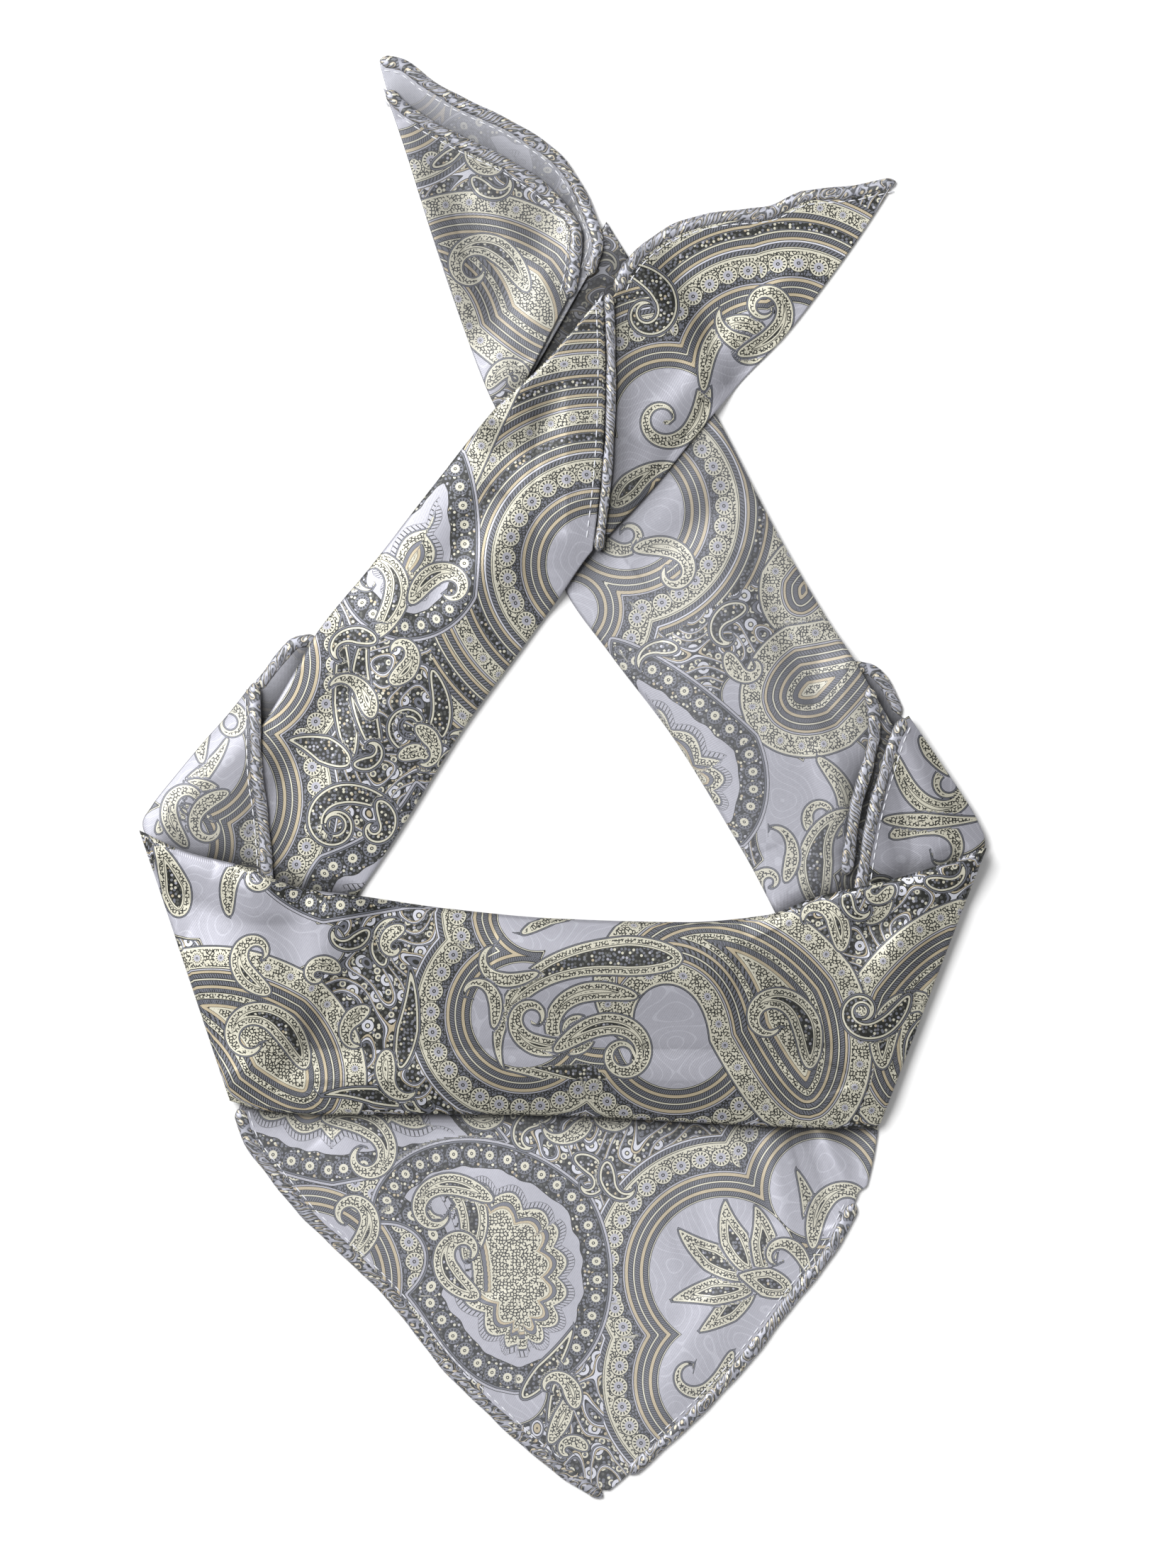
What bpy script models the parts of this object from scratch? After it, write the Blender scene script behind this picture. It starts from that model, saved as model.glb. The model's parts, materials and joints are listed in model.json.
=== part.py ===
"""Silk neck scarf, folded from a hemmed square of twill into a band and laid on a table as a crossed loop.

The origin is on the table under the middle of the scarf. X runs to the right along the neck band, Y runs
from the tail point to the crossed ends, and Z is up. All tables are in millimetres on the table top.
"""

import math

import bmesh
import bpy
import numpy as np
from mathutils import Vector
from mathutils.bvhtree import BVHTree

MM = 0.001
WALL = 1.0  # one layer of cloth
GAP = 0.3  # between two pieces that lie on each other
SEAM = 0.5  # between a layer and the hem beside it
MOST_HEM = 0.7  # a layer stops towards its point where its hems take more of its width than this
HEM_WIDTH = 4.1
HEM_HEIGHT = 1.5
FOLD_ROUND = 0.7  # how far the top and bottom edges of a folded stretch sit inside its outline
GROOVE = 0.4  # depth of the groove between two layers at a folded edge
STATION_STEP = 7.0  # along a piece
HEM_STEP = 5.0  # along a hem
CROWN_POWER = 4  # the crown of a folded stretch is flat in the middle and falls off near its edges
PILE_CELL = 1.0  # grid of the height of all the cloth laid so far
PILE_REACH = 7  # cells by which cloth stands off round what it lies on
PILE_EASE = 5  # cells over which it comes down to the table
PILE_HALF_X = 135  # cells from the middle to the sides of the grid
PILE_HALF_Y = 222
PILE_TOP = 50.0  # a height above all cloth, from which the pile is measured

# Folded stretches: one row for each section, from one edge (ax, ay) to the other (bx, by), with the
# thickness of the folded edge and how much the middle stands above it.
EDGE, CROWN = 4, 5

NECK_BAND = (
    (-122.0, -15.0, -96.0, -93.0, 2.4, 0.3),
    (-109.0, -21.0, -85.0, -96.0, 2.8, 0.6),
    (-91.5, -25.5, -70.5, -97.0, 3.0, 0.8),
    (-76.0, -31.5, -55.5, -97.0, 3.2, 1.0),
    (-58.0, -34.0, -40.0, -97.0, 3.4, 1.2),
    (-34.0, -37.5, -21.5, -97.0, 3.6, 1.4),
    (-1.0, -40.5, 3.0, -97.5, 3.6, 1.4),
    (35.5, -41.5, 32.0, -99.0, 3.6, 1.4),
    (58.5, -39.5, 52.0, -100.0, 3.4, 1.2),
    (72.0, -34.5, 63.0, -100.5, 3.2, 1.0),
    (95.0, -29.0, 81.0, -101.0, 3.0, 0.8),
    (108.5, -25.0, 87.5, -101.0, 2.8, 0.6),
    (122.0, -20.0, 91.5, -99.5, 2.4, 0.3),
)

# From the slanting fold under the band's left end, up to the hem that crosses the other stretch.
LEFT_STRETCH = (
    (-120.0, -19.0, -96.0, -91.0, 1.6, 0.2),
    (-109.0, -6.5, -81.5, -70.0, 1.7, 0.3),
    (-97.0, 4.5, -69.5, -50.5, 1.8, 0.4),
    (-86.5, 16.0, -59.0, -33.5, 2.0, 0.6),
    (-79.5, 27.0, -52.0, -23.0, 2.2, 0.8),
    (-70.5, 42.5, -45.0, -12.0, 2.4, 1.0),
    (-55.5, 61.0, -28.5, 14.5, 2.4, 1.2),
    (-36.5, 85.5, -11.0, 38.5, 2.2, 1.0),
    (-19.5, 106.5, 0.0, 53.5, 1.8, 0.8),
    (-6.5, 118.5, 4.0, 59.5, 1.5, 0.6),
    (3.5, 130.0, 6.5, 63.0, 1.3, 0.4),
    (11.5, 139.5, 8.5, 65.5, 1.2, 0.2),
)
LEFT_STRETCH_BOW = 2.0  # the crossing hem bends this far to the right of a straight line
BOW_REACH = 6  # power by which the bend fades away from the hem

# From the fold under the band's right end, up to where it runs out under the other stretch.
RIGHT_STRETCH = (
    (93.0, -94.0, 120.0, -23.0, 1.6, 0.2),
    (76.0, -68.0, 108.0, -6.5, 1.7, 0.3),
    (66.5, -49.5, 98.5, 9.5, 1.8, 0.4),
    (60.5, -37.5, 91.0, 22.0, 2.0, 0.6),
    (54.0, -25.0, 84.0, 34.0, 2.2, 0.8),
    (47.0, -13.0, 75.5, 47.0, 2.4, 1.0),
    (31.5, 12.0, 60.5, 73.0, 2.4, 1.2),
    (13.0, 36.5, 48.0, 97.5, 2.2, 0.8),
    (1.0, 53.5, 43.0, 107.0, 1.8, 0.5),
    (-9.0, 81.5, 32.0, 128.5, 1.5, 0.3),
    (-19.5, 104.0, 12.5, 160.5, 1.2, 0.1),
)

# Single layers: one row for each section, from one edge (ax, ay) to the other (bx, by), with 1 where that
# edge is a rolled hem and 0 where it is a fold or is hidden.
HEM_A, HEM_B = 4, 5

TAIL_POINT = (
    (-92.0, -86.5, 82.0, -86.5, 1, 0),
    (-95.5, -96.0, 91.0, -98.5, 1, 0),
    (-92.5, -105.0, 90.0, -107.0, 1, 0),
    (-84.2, -116.5, 87.7, -117.5, 1, 0),
    (-82.0, -119.2, 87.0, -120.0, 1, 1),
    (-79.0, -122.8, 85.9, -123.5, 1, 1),
    (-75.0, -127.5, 84.0, -127.5, 1, 1),
    (-64.3, -137.5, 78.5, -137.5, 1, 1),
    (-49.7, -152.0, 67.0, -152.0, 1, 1),
    (-36.0, -169.5, 53.5, -169.5, 1, 1),
    (-20.5, -185.0, 39.0, -185.0, 1, 1),
    (-2.0, -201.0, 21.5, -201.0, 1, 1),
    (5.0, -205.5, 16.5, -205.5, 1, 1),
    (10.2, -209.0, 11.8, -209.0, 1, 1),
)
LEFT_END = (
    (1.0, 120.0, 0.5, 70.0, 0, 0),
    (9.0, 132.0, 6.0, 68.0, 0, 0),
    (13.5, 141.0, 9.0, 67.0, 1, 0),
    (16.0, 146.5, 17.5, 74.5, 1, 0),
    (23.5, 155.0, 26.0, 83.5, 1, 0),
    (34.0, 161.0, 39.0, 99.5, 1, 0),
    (46.5, 164.0, 52.0, 115.0, 1, 0),
    (58.0, 165.0, 63.5, 127.0, 1, 0),
    (70.0, 170.0, 74.5, 141.0, 1, 0),
    (82.0, 171.0, 86.0, 157.0, 1, 0),
    (95.5, 174.0, 96.0, 172.5, 1, 0),
)
RIGHT_END_BACK = (
    (-53.5, 208.5, -52.5, 209.0, 0, 1),
    (-51.5, 201.0, -46.0, 207.7, 0, 1),
    (-49.5, 194.5, -38.0, 202.0, 0, 1),
    (-46.0, 183.5, -29.5, 197.0, 0, 1),
    (-40.5, 165.0, -13.0, 189.0, 0, 1),
    (-34.5, 146.5, 1.5, 178.0, 0, 1),
    (-27.5, 126.5, 9.5, 163.0, 0, 1),
    (-21.5, 111.0, 12.0, 153.5, 0, 1),
    (-17.0, 102.0, 9.0, 144.0, 0, 1),
)
RIGHT_END_FRONT = (
    (-51.8, 198.8, -49.2, 199.6, 0, 1),
    (-50.5, 195.5, -45.0, 195.0, 0, 1),
    (-45.5, 181.0, -30.5, 186.2, 0, 1),
    (-40.0, 163.5, -14.5, 178.3, 0, 1),
    (-33.5, 144.5, -1.0, 168.0, 0, 1),
    (-27.5, 126.5, 5.8, 156.5, 0, 1),
    (-21.5, 111.0, 5.2, 146.0, 0, 1),
    (-17.0, 102.0, 3.5, 138.0, 0, 1),
)
LEFT_WING = (
    (-89.8, 27.0, -87.0, 27.5, 0, 1),
    (-96.5, 18.5, -86.6, 14.0, 0, 1),
    (-104.0, 10.0, -86.2, 1.5, 0, 1),
    (-111.5, 1.0, -84.8, -8.5, 0, 1),
    (-118.5, -8.0, -83.8, -19.0, 0, 1),
    (-121.2, -13.2, -83.2, -27.5, 0, 1),
    (-118.5, -21.0, -82.4, -33.0, 0, 1),
)
RIGHT_WING = (
    (96.5, 18.0, 99.6, 18.0, 1, 0),
    (93.8, 12.0, 103.7, 12.0, 1, 0),
    (90.8, 2.5, 109.7, 3.2, 1, 0),
    (88.3, -6.0, 114.7, -4.3, 1, 0),
    (86.3, -15.0, 118.7, -10.8, 1, 0),
    (84.3, -27.5, 121.6, -18.8, 1, 0),
    (83.3, -34.0, 118.5, -26.5, 1, 0),
)

# The layers under the wings: down the hem of the pocket's mouth, then along the fold that the wing goes
# round.
LEFT_WING_BACK = (
    (-71.0, 42.0, -66.0, 33.5, 1, 0),
    (-77.5, 41.0, -70.0, 31.5, 1, 0),
    (-82.5, 36.5, -73.5, 28.0, 1, 0),
    (-86.0, 32.0, -77.0, 23.5, 1, 0),
    (-90.0, 26.8, -80.5, 18.5, 1, 0),
    (-91.5, 24.5, -82.0, 16.0, 0, 0),
    (-96.5, 18.5, -86.0, 10.5, 0, 0),
    (-104.0, 10.0, -93.0, 2.0, 0, 0),
    (-111.5, 1.0, -101.0, -7.0, 0, 0),
    (-118.5, -8.0, -108.5, -15.5, 0, 0),
    (-120.5, -12.5, -112.0, -20.5, 0, 0),
)
RIGHT_WING_BACK = (
    (82.5, 34.2, 80.5, 26.0, 1, 0),
    (89.0, 33.2, 83.0, 25.0, 1, 0),
    (93.2, 30.0, 85.0, 22.0, 1, 0),
    (96.5, 24.5, 87.0, 17.5, 1, 0),
    (99.0, 19.0, 88.5, 12.5, 1, 0),
    (100.5, 16.5, 90.5, 8.5, 0, 0),
    (103.7, 12.0, 94.5, 4.0, 0, 0),
    (109.7, 3.2, 100.5, -4.0, 0, 0),
    (114.7, -4.3, 106.0, -10.5, 0, 0),
    (118.7, -10.8, 109.5, -17.0, 0, 0),
    (121.0, -17.5, 112.5, -23.0, 0, 0),
)

# The middle line of the hem that lies on the right stretch, beside the wing.
RIGHT_STRETCH_HEM = (
    (88.0, 26.0),
    (89.6, 18.0),
    (89.6, 11.5),
    (87.7, 3.3),
    (86.0, -2.0),
    (84.5, -7.0),
    (83.2, -15.5),
    (81.6, -28.0),
)

# Colour of each side of the print, and of the hems, as sRGB.
PRINTED_SIDE = (0.52, 0.52, 0.53)
WRONG_SIDE = (0.68, 0.69, 0.73)
HEM_COLOUR = (0.40, 0.40, 0.43)
SILK_ROUGHNESS = 0.42


def eased(at_rows, values, places):
    """The table's values at other places, on a smooth curve through its rows that never swings past them."""
    span = np.diff(at_rows)[:, None]
    slope = np.diff(values, axis=0) / span
    same_way = slope[:-1] * slope[1:] > 0
    total = np.where(same_way, slope[:-1] + slope[1:], 1.0)
    inner = np.where(same_way, 2 * slope[:-1] * slope[1:] / total, 0.0)
    tangent = np.vstack([slope[:1], inner, slope[-1:]])
    row = np.clip(np.searchsorted(at_rows, places, "right") - 1, 0, len(at_rows) - 2)
    part = ((places - at_rows[row]) / span[row, 0])[:, None]
    rise = part**2 * (3 - 2 * part)
    bend = span[row] * part * (1 - part) * ((1 - part) * tangent[row] - part * tangent[row + 1])
    return values[row] * (1 - rise) + values[row + 1] * rise + bend


def stations(table, step):
    """More rows between those of a table, no further apart than the step along the middle of the piece."""
    rows = np.array(table, float)
    middle = (rows[:, 0:2] + rows[:, 2:4]) / 2
    length = np.linalg.norm(np.diff(middle, axis=0), axis=1)
    at_rows = np.concatenate([[0.0], np.cumsum(length)])
    places = [0.0]
    for start, size in zip(at_rows, length):
        parts = max(1, math.ceil(size / step))
        places += [start + size * (k + 1) / parts for k in range(parts)]
    return eased(at_rows, rows, np.array(places))


def plan_grid(rows, across, bow=0.0):
    """Points of a piece on the table: straight lines between each row's ends, the last bent by the bow."""
    part = np.linspace(0, 1, across + 1)[None, :, None]
    start, end = rows[:, None, 0:2], rows[:, None, 2:4]
    grid = start + (end - start) * part
    towards_last = np.linspace(0, 1, len(rows))[:, None] ** BOW_REACH
    grid[:, :, 0] += bow * towards_last * 4 * part[0, :, 0] * (1 - part[0, :, 0])
    return grid


class Pile:
    """The height of all the cloth laid so far, on a square grid over the table."""

    def __init__(self):
        self.x = np.arange(-PILE_HALF_X, PILE_HALF_X + 1) * PILE_CELL
        self.y = np.arange(-PILE_HALF_Y, PILE_HALF_Y + 1) * PILE_CELL
        self.height = np.zeros((len(self.x), len(self.y)))

    def floor_under(self, grid):
        """The height at which a piece lies: clear of what is under it, easing down to the table round it."""
        field = np.where(self.height > 0, self.height + GAP, 0.0)
        for axis in (0, 1):
            near = [np.roll(field, shift, axis) for shift in range(-PILE_REACH, PILE_REACH + 1)]
            field = np.max(near, axis=0)
        for axis in (0, 1):
            near = [np.roll(field, shift, axis) for shift in range(-PILE_EASE, PILE_EASE + 1)]
            field = np.mean(near, axis=0)
        i = (grid[..., 0] - self.x[0]) / PILE_CELL
        j = (grid[..., 1] - self.y[0]) / PILE_CELL
        i0, j0 = i.astype(int), j.astype(int)
        fi, fj = i - i0, j - j0
        low = field[i0, j0] * (1 - fi) + field[i0 + 1, j0] * fi
        high = field[i0, j0 + 1] * (1 - fi) + field[i0 + 1, j0 + 1] * fi
        return low * (1 - fj) + high * fj

    def add(self, *pieces):
        """Takes in the tops of more pieces, as seen from above."""
        bpy.context.view_layer.update()
        graph = bpy.context.evaluated_depsgraph_get()
        for piece in pieces:
            mesh = bpy.data.meshes.new_from_object(piece.evaluated_get(graph))
            corners = np.array([vertex.co for vertex in mesh.vertices]) / MM
            tree = BVHTree.FromPolygons([v.co for v in mesh.vertices], [p.vertices for p in mesh.polygons])
            bpy.data.meshes.remove(mesh)
            low, high = corners.min(axis=0), corners.max(axis=0)
            for i in np.nonzero((self.x > low[0]) & (self.x < high[0]))[0]:
                for j in np.nonzero((self.y > low[1]) & (self.y < high[1]))[0]:
                    above = Vector((self.x[i], self.y[j], PILE_TOP)) * MM
                    hit = tree.ray_cast(above, Vector((0, 0, -1)))[0]
                    if hit is not None:
                        self.height[i, j] = max(self.height[i, j], hit.z / MM)


def material_named(name, colour):
    material = bpy.data.materials.new(name)
    material.use_nodes = True
    shader = material.node_tree.nodes["Principled BSDF"]
    linear = [((c + 0.055) / 1.055) ** 2.4 for c in colour]
    shader.inputs["Base Color"].default_value = (*linear, 1)
    shader.inputs["Roughness"].default_value = SILK_ROUGHNESS
    shader.inputs["Metallic"].default_value = 0
    material.diffuse_color = (*linear, 1)
    return material


def add_mesh(name, points, faces, colour):
    """One object from points in millimetres and quads, with its faces pointing out and its own material."""
    mesh = bpy.data.meshes.new(name)
    mesh.from_pydata([tuple(p) for p in np.asarray(points) * MM], [], faces)
    turned = bmesh.new()
    turned.from_mesh(mesh)
    bmesh.ops.recalc_face_normals(turned, faces=turned.faces)
    turned.to_mesh(mesh)
    turned.free()
    mesh.shade_smooth()
    mesh.materials.append(material_named(name, colour))
    piece = bpy.data.objects.new(name, mesh)
    scarf.objects.link(piece)
    return piece


def grid_faces(rows, across, first=0):
    """Quads of a grid of points that is stored row by row."""
    width = across + 1
    corners = [first + i * width + j for i in range(rows) for j in range(across)]
    return [(k, k + width, k + width + 1, k + 1) for k in corners]


def folded_stretch(name, table, layers, across, pile, bow=0.0):
    """A folded stretch: many layers as one solid, with a soft crown, and its layers at the edges.

    The underside lies on the pile. The sides bulge once for each layer, with a groove between two layers.
    """
    rows = stations(table, STATION_STEP)
    plan = plan_grid(rows, across, bow)
    count = len(rows) - 1
    part = np.linspace(-1, 1, across + 1)[None, :]
    thick = rows[:, EDGE, None] + rows[:, CROWN, None] * (1 - part**CROWN_POWER)
    floor = pile.floor_under(plan)
    ring = (
        [(i, 0) for i in range(count)]
        + [(count, j) for j in range(across)]
        + [(i, across) for i in range(count, 0, -1)]
        + [(0, j) for j in range(across, 0, -1)]
    )
    out = np.zeros_like(plan)
    out[:, 0] += plan[:, 0] - plan[:, 1]
    out[:, -1] += plan[:, -1] - plan[:, -2]
    out /= np.maximum(np.linalg.norm(out, axis=2, keepdims=True), 1e-9)
    along = np.zeros_like(plan)
    along[0] += plan[0] - plan[1]
    along[-1] += plan[-1] - plan[-2]
    out += along / np.maximum(np.linalg.norm(along, axis=2, keepdims=True), 1e-9)
    inner = plan - FOLD_ROUND * out
    bottom = np.dstack([inner, floor])
    top = np.dstack([inner, floor + thick])
    points = [bottom.reshape(-1, 3), top.reshape(-1, 3)]
    size = plan.shape[0] * plan.shape[1]
    width = across + 1
    faces = [face[::-1] for face in grid_faces(count, across)] + grid_faces(count, across, size)
    levels = 2 * layers
    rings = [[i * width + j for i, j in ring]]
    at = tuple(np.array(ring).T)
    for level in range(1, levels):
        inset = GROOVE if level % 2 == 0 else 0.0
        height = floor[at] + thick[at] * level / levels
        side = np.column_stack([plan[at] - inset * out[at], height])
        rings.append([2 * size + (level - 1) * len(ring) + k for k in range(len(ring))])
        points.append(side)
    rings.append([size + i * width + j for i, j in ring])
    for low, high in zip(rings, rings[1:]):
        for k in range(len(ring)):
            after = (k + 1) % len(ring)
            faces.append((low[after], low[k], high[k], high[after]))
    return add_mesh(name, np.vstack(points), faces, PRINTED_SIDE)


def inward(rows, side):
    """One edge at each row, and the way in from it: square to that edge, on the table."""
    edge, other = (rows[:, 0:2], rows[:, 2:4]) if side == HEM_A else (rows[:, 2:4], rows[:, 0:2])
    tangent = np.gradient(edge, axis=0)
    normal = np.stack([-tangent[:, 1], tangent[:, 0]], axis=1)
    normal /= np.linalg.norm(normal, axis=1, keepdims=True)
    return edge, normal * np.sign(np.sum(normal * (other - edge), axis=1, keepdims=True))


def single_layer(name, table, across, pile, colour=PRINTED_SIDE):
    """One layer of cloth: an open sheet on the pile, thickened upwards, that ends beside its hems."""
    rows = stations(table, STATION_STEP)
    width = np.linalg.norm(rows[:, 2:4] - rows[:, 0:2], axis=1)
    edges = {}
    taken = 0
    for side in (HEM_A, HEM_B):
        edge, way = inward(rows, side)
        inset = way * rows[:, side, None] * (HEM_WIDTH + SEAM)
        edges[side] = edge + inset
        taken = taken + np.linalg.norm(inset, axis=1)
    rows = np.hstack([edges[HEM_A], edges[HEM_B]])[taken < MOST_HEM * width]
    plan = plan_grid(rows, across)
    sheet = np.dstack([plan, pile.floor_under(plan)])
    piece = add_mesh(name, sheet.reshape(-1, 3), grid_faces(len(rows) - 1, across), colour)
    if sum(face.normal.z for face in piece.data.polygons) < 0:
        piece.data.flip_normals()
    wall = piece.modifiers.new("Wall", "SOLIDIFY")
    wall.thickness = WALL * MM
    wall.offset = 1
    return piece


def hem_outline():
    """The flat oval outline of a rolled hem, used by every hem."""
    outline = bpy.data.curves.new("hem_outline", "CURVE")
    outline.dimensions = "2D"
    spline = outline.splines.new("POLY")
    sides = 8
    spline.points.add(sides - 1)
    for k in range(sides):
        angle = -2 * math.pi * (k + 0.5) / sides
        stretch = 1 / math.cos(math.pi / sides)
        x = math.cos(angle) * HEM_WIDTH / 2 * stretch
        y = math.sin(angle) * HEM_HEIGHT / 2 * stretch
        spline.points[k].co = (x * MM, y * MM, 0, 1)
    spline.use_cyclic_u = True
    guide = bpy.data.objects.new("hem_outline", outline)
    guide.hide_render = True
    guide.display_type = "WIRE"
    guides.objects.link(guide)
    return guide


def rolled_hem(name, line, pile, outline):
    """A rolled hem along its middle line: a flat oval carried along, resting on what lies under it."""
    rows = np.array(line, float)
    length = np.linalg.norm(np.diff(rows, axis=0), axis=1)
    at_rows = np.concatenate([[0.0], np.cumsum(length)])
    path = eased(at_rows, rows, np.linspace(0, at_rows[-1], max(4, round(at_rows[-1] / HEM_STEP))))
    height = pile.floor_under(path) + HEM_HEIGHT / 2
    curve = bpy.data.curves.new(name, "CURVE")
    curve.dimensions = "3D"
    curve.twist_mode = "Z_UP"
    curve.bevel_mode = "OBJECT"
    curve.bevel_object = outline
    curve.use_fill_caps = True
    spline = curve.splines.new("POLY")
    spline.points.add(len(path) - 1)
    for point, (x, y), z in zip(spline.points, path, height):
        point.co = (x * MM, y * MM, z * MM, 1)
    curve.materials.append(material_named(name, HEM_COLOUR))
    piece = bpy.data.objects.new(name, curve)
    scarf.objects.link(piece)
    return piece


def edge_line(table, side, first=0, last=None, trim=0):
    """The middle line of the hem along one edge of a single layer, between two rows of its table."""
    edge, way = inward(stations(table[first:last], STATION_STEP), side)
    line = edge + way * HEM_WIDTH / 2
    return line[: len(line) - trim]


def end_line(table, bow, across):
    """The middle line of the hem just past the last row of a folded stretch."""
    line = plan_grid(stations(table, STATION_STEP), across, bow)[-1]
    tangent = np.gradient(line, axis=0)
    normal = np.stack([-tangent[:, 1], tangent[:, 0]], axis=1)
    normal /= np.linalg.norm(normal, axis=1, keepdims=True)
    return line + normal * (HEM_WIDTH / 2 + GAP)


for leftover in list(bpy.data.objects):
    bpy.data.objects.remove(leftover)
scarf = bpy.data.collections.new("silk_scarf")
guides = bpy.data.collections.new("guides")
bpy.context.scene.collection.children.link(scarf)
bpy.context.scene.collection.children.link(guides)
outline = hem_outline()
pile = Pile()

# The pieces are laid from the table up. What is laid together lies side by side.
pile.add(
    single_layer("tail_point", TAIL_POINT, 8, pile),
    rolled_hem("tail_hem_left", edge_line(TAIL_POINT, HEM_A, 1), pile, outline),
    rolled_hem("tail_hem_right", edge_line(TAIL_POINT, HEM_B, 5, trim=1), pile, outline),
    single_layer("left_wing_back", LEFT_WING_BACK, 3, pile, WRONG_SIDE),
    rolled_hem("left_pocket_hem", edge_line(LEFT_WING_BACK, HEM_A, 0, 5), pile, outline),
    single_layer("right_wing_back", RIGHT_WING_BACK, 3, pile, WRONG_SIDE),
    rolled_hem("right_pocket_hem", edge_line(RIGHT_WING_BACK, HEM_A, 0, 5), pile, outline),
)
pile.add(folded_stretch("right_stretch", RIGHT_STRETCH, 3, 7, pile))
pile.add(
    single_layer("right_end_back", RIGHT_END_BACK, 5, pile, WRONG_SIDE),
    rolled_hem("right_end_back_hem", edge_line(RIGHT_END_BACK, HEM_B), pile, outline),
)
pile.add(
    single_layer("right_end_front", RIGHT_END_FRONT, 5, pile),
    rolled_hem("right_end_front_hem", edge_line(RIGHT_END_FRONT, HEM_B), pile, outline),
)
pile.add(
    single_layer("left_end", LEFT_END, 6, pile),
    rolled_hem("left_end_hem", edge_line(LEFT_END, HEM_A, 2), pile, outline),
)
pile.add(
    folded_stretch("left_stretch", LEFT_STRETCH, 3, 7, pile, LEFT_STRETCH_BOW),
    rolled_hem("left_stretch_hem", end_line(LEFT_STRETCH, LEFT_STRETCH_BOW, 7), pile, outline),
)
pile.add(
    single_layer("left_wing", LEFT_WING, 4, pile),
    rolled_hem("left_wing_hem", edge_line(LEFT_WING, HEM_B), pile, outline),
    single_layer("right_wing", RIGHT_WING, 4, pile),
    rolled_hem("right_wing_hem", edge_line(RIGHT_WING, HEM_A), pile, outline),
    rolled_hem("right_stretch_hem", RIGHT_STRETCH_HEM, pile, outline),
)
folded_stretch("neck_band", NECK_BAND, 4, 8, pile)
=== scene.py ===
"""Looks of the silk neck scarf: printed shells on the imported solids, rolled hems, stitches, table and light.

Plans, prints and heights are worked out in millimetres on the table top, and turned to metres for a mesh.
"""

import json
import math

import bpy
import numpy as np
from mathutils.kdtree import KDTree
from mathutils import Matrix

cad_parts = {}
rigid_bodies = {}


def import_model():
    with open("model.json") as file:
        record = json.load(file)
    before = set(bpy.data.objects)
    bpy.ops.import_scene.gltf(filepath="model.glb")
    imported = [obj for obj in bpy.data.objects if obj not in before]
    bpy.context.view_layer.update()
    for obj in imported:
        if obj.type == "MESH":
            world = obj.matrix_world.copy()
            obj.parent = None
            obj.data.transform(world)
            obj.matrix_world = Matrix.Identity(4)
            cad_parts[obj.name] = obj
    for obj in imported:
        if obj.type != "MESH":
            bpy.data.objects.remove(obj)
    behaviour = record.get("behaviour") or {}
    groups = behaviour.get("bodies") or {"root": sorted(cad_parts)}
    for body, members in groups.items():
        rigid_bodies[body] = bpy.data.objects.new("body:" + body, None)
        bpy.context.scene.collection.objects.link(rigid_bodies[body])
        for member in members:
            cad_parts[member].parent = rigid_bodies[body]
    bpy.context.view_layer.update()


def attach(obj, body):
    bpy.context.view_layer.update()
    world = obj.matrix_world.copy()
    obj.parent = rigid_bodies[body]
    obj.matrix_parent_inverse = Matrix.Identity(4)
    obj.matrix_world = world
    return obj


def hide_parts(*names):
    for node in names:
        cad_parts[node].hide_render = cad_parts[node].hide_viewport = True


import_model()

# The camera
# It looks straight down from far off, as for a picture of clothes on a table. The picture is 339 mm wide.

PICTURE_WIDTH = 0.3393
CAMERA_HEIGHT = 2.4
SENSOR = 36.0

camera = bpy.data.objects.new("camera", bpy.data.cameras.new("camera"))
camera.data.sensor_fit = "HORIZONTAL"
camera.data.sensor_width = SENSOR
camera.data.lens = SENSOR * CAMERA_HEIGHT / PICTURE_WIDTH
camera.location = (0.0072, -0.0017, CAMERA_HEIGHT)
bpy.context.scene.collection.objects.link(camera)
bpy.context.scene.camera = camera

# The places of the print's motifs
# A paisley: plain grounds with rounded lobes, teardrops and curled leaves, on a dark field of small flowers.
# Each motif is a table row, and every point of the cloth carries its distance to the nearest of each kind.

BORDER = 18.4  # how far the bands and the daisies round a plain ground reach out from it
FAR = 60.0  # a distance that stands for no motif near
COVER = 0.9  # how far outside its outline a motif still hides the ones before it
OUTLINE_STEP = 0.3
MOTIF_REACH = 6  # how far round a teardrop its distances are worked out
LEAF_REACH = 3  # and round a leaf
CLEAR = 3  # the least room between a small leaf's start and a teardrop
LEAF_GRID = 12.0
LEAF_LENGTH = 14.0
LEAF_WIDTH = 3.8
LEAF_SCATTER = 1.6  # how far a small leaf is moved off its place on the grid


def eased(at_rows, values, places):
    """The table's values at other places, on a smooth curve through its rows that never swings past them.

    Between two rows: value = a (1 - s) + b s + bend, with s = 3p^2 - 2p^3 for the part p of the way, and
    the bend from the slopes at both rows. A slope is the harmonic mean of those on its two sides, or 0 at a
    turn.
    """
    span = np.diff(at_rows)[:, None]
    slope = np.diff(values, axis=0) / span
    same_way = slope[:-1] * slope[1:] > 0
    total = np.where(same_way, slope[:-1] + slope[1:], 1.0)
    inner = np.where(same_way, 2 * slope[:-1] * slope[1:] / total, 0.0)
    tangent = np.vstack([slope[:1], inner, slope[-1:]])
    row = np.clip(np.searchsorted(at_rows, places, "right") - 1, 0, len(at_rows) - 2)
    part = ((places - at_rows[row]) / span[row, 0])[:, None]
    rise = part**2 * (3 - 2 * part)
    bend = span[row] * part * (1 - part) * ((1 - part) * tangent[row] - part * tangent[row + 1])
    return values[row] * (1 - rise) + values[row + 1] * rise + bend


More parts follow.
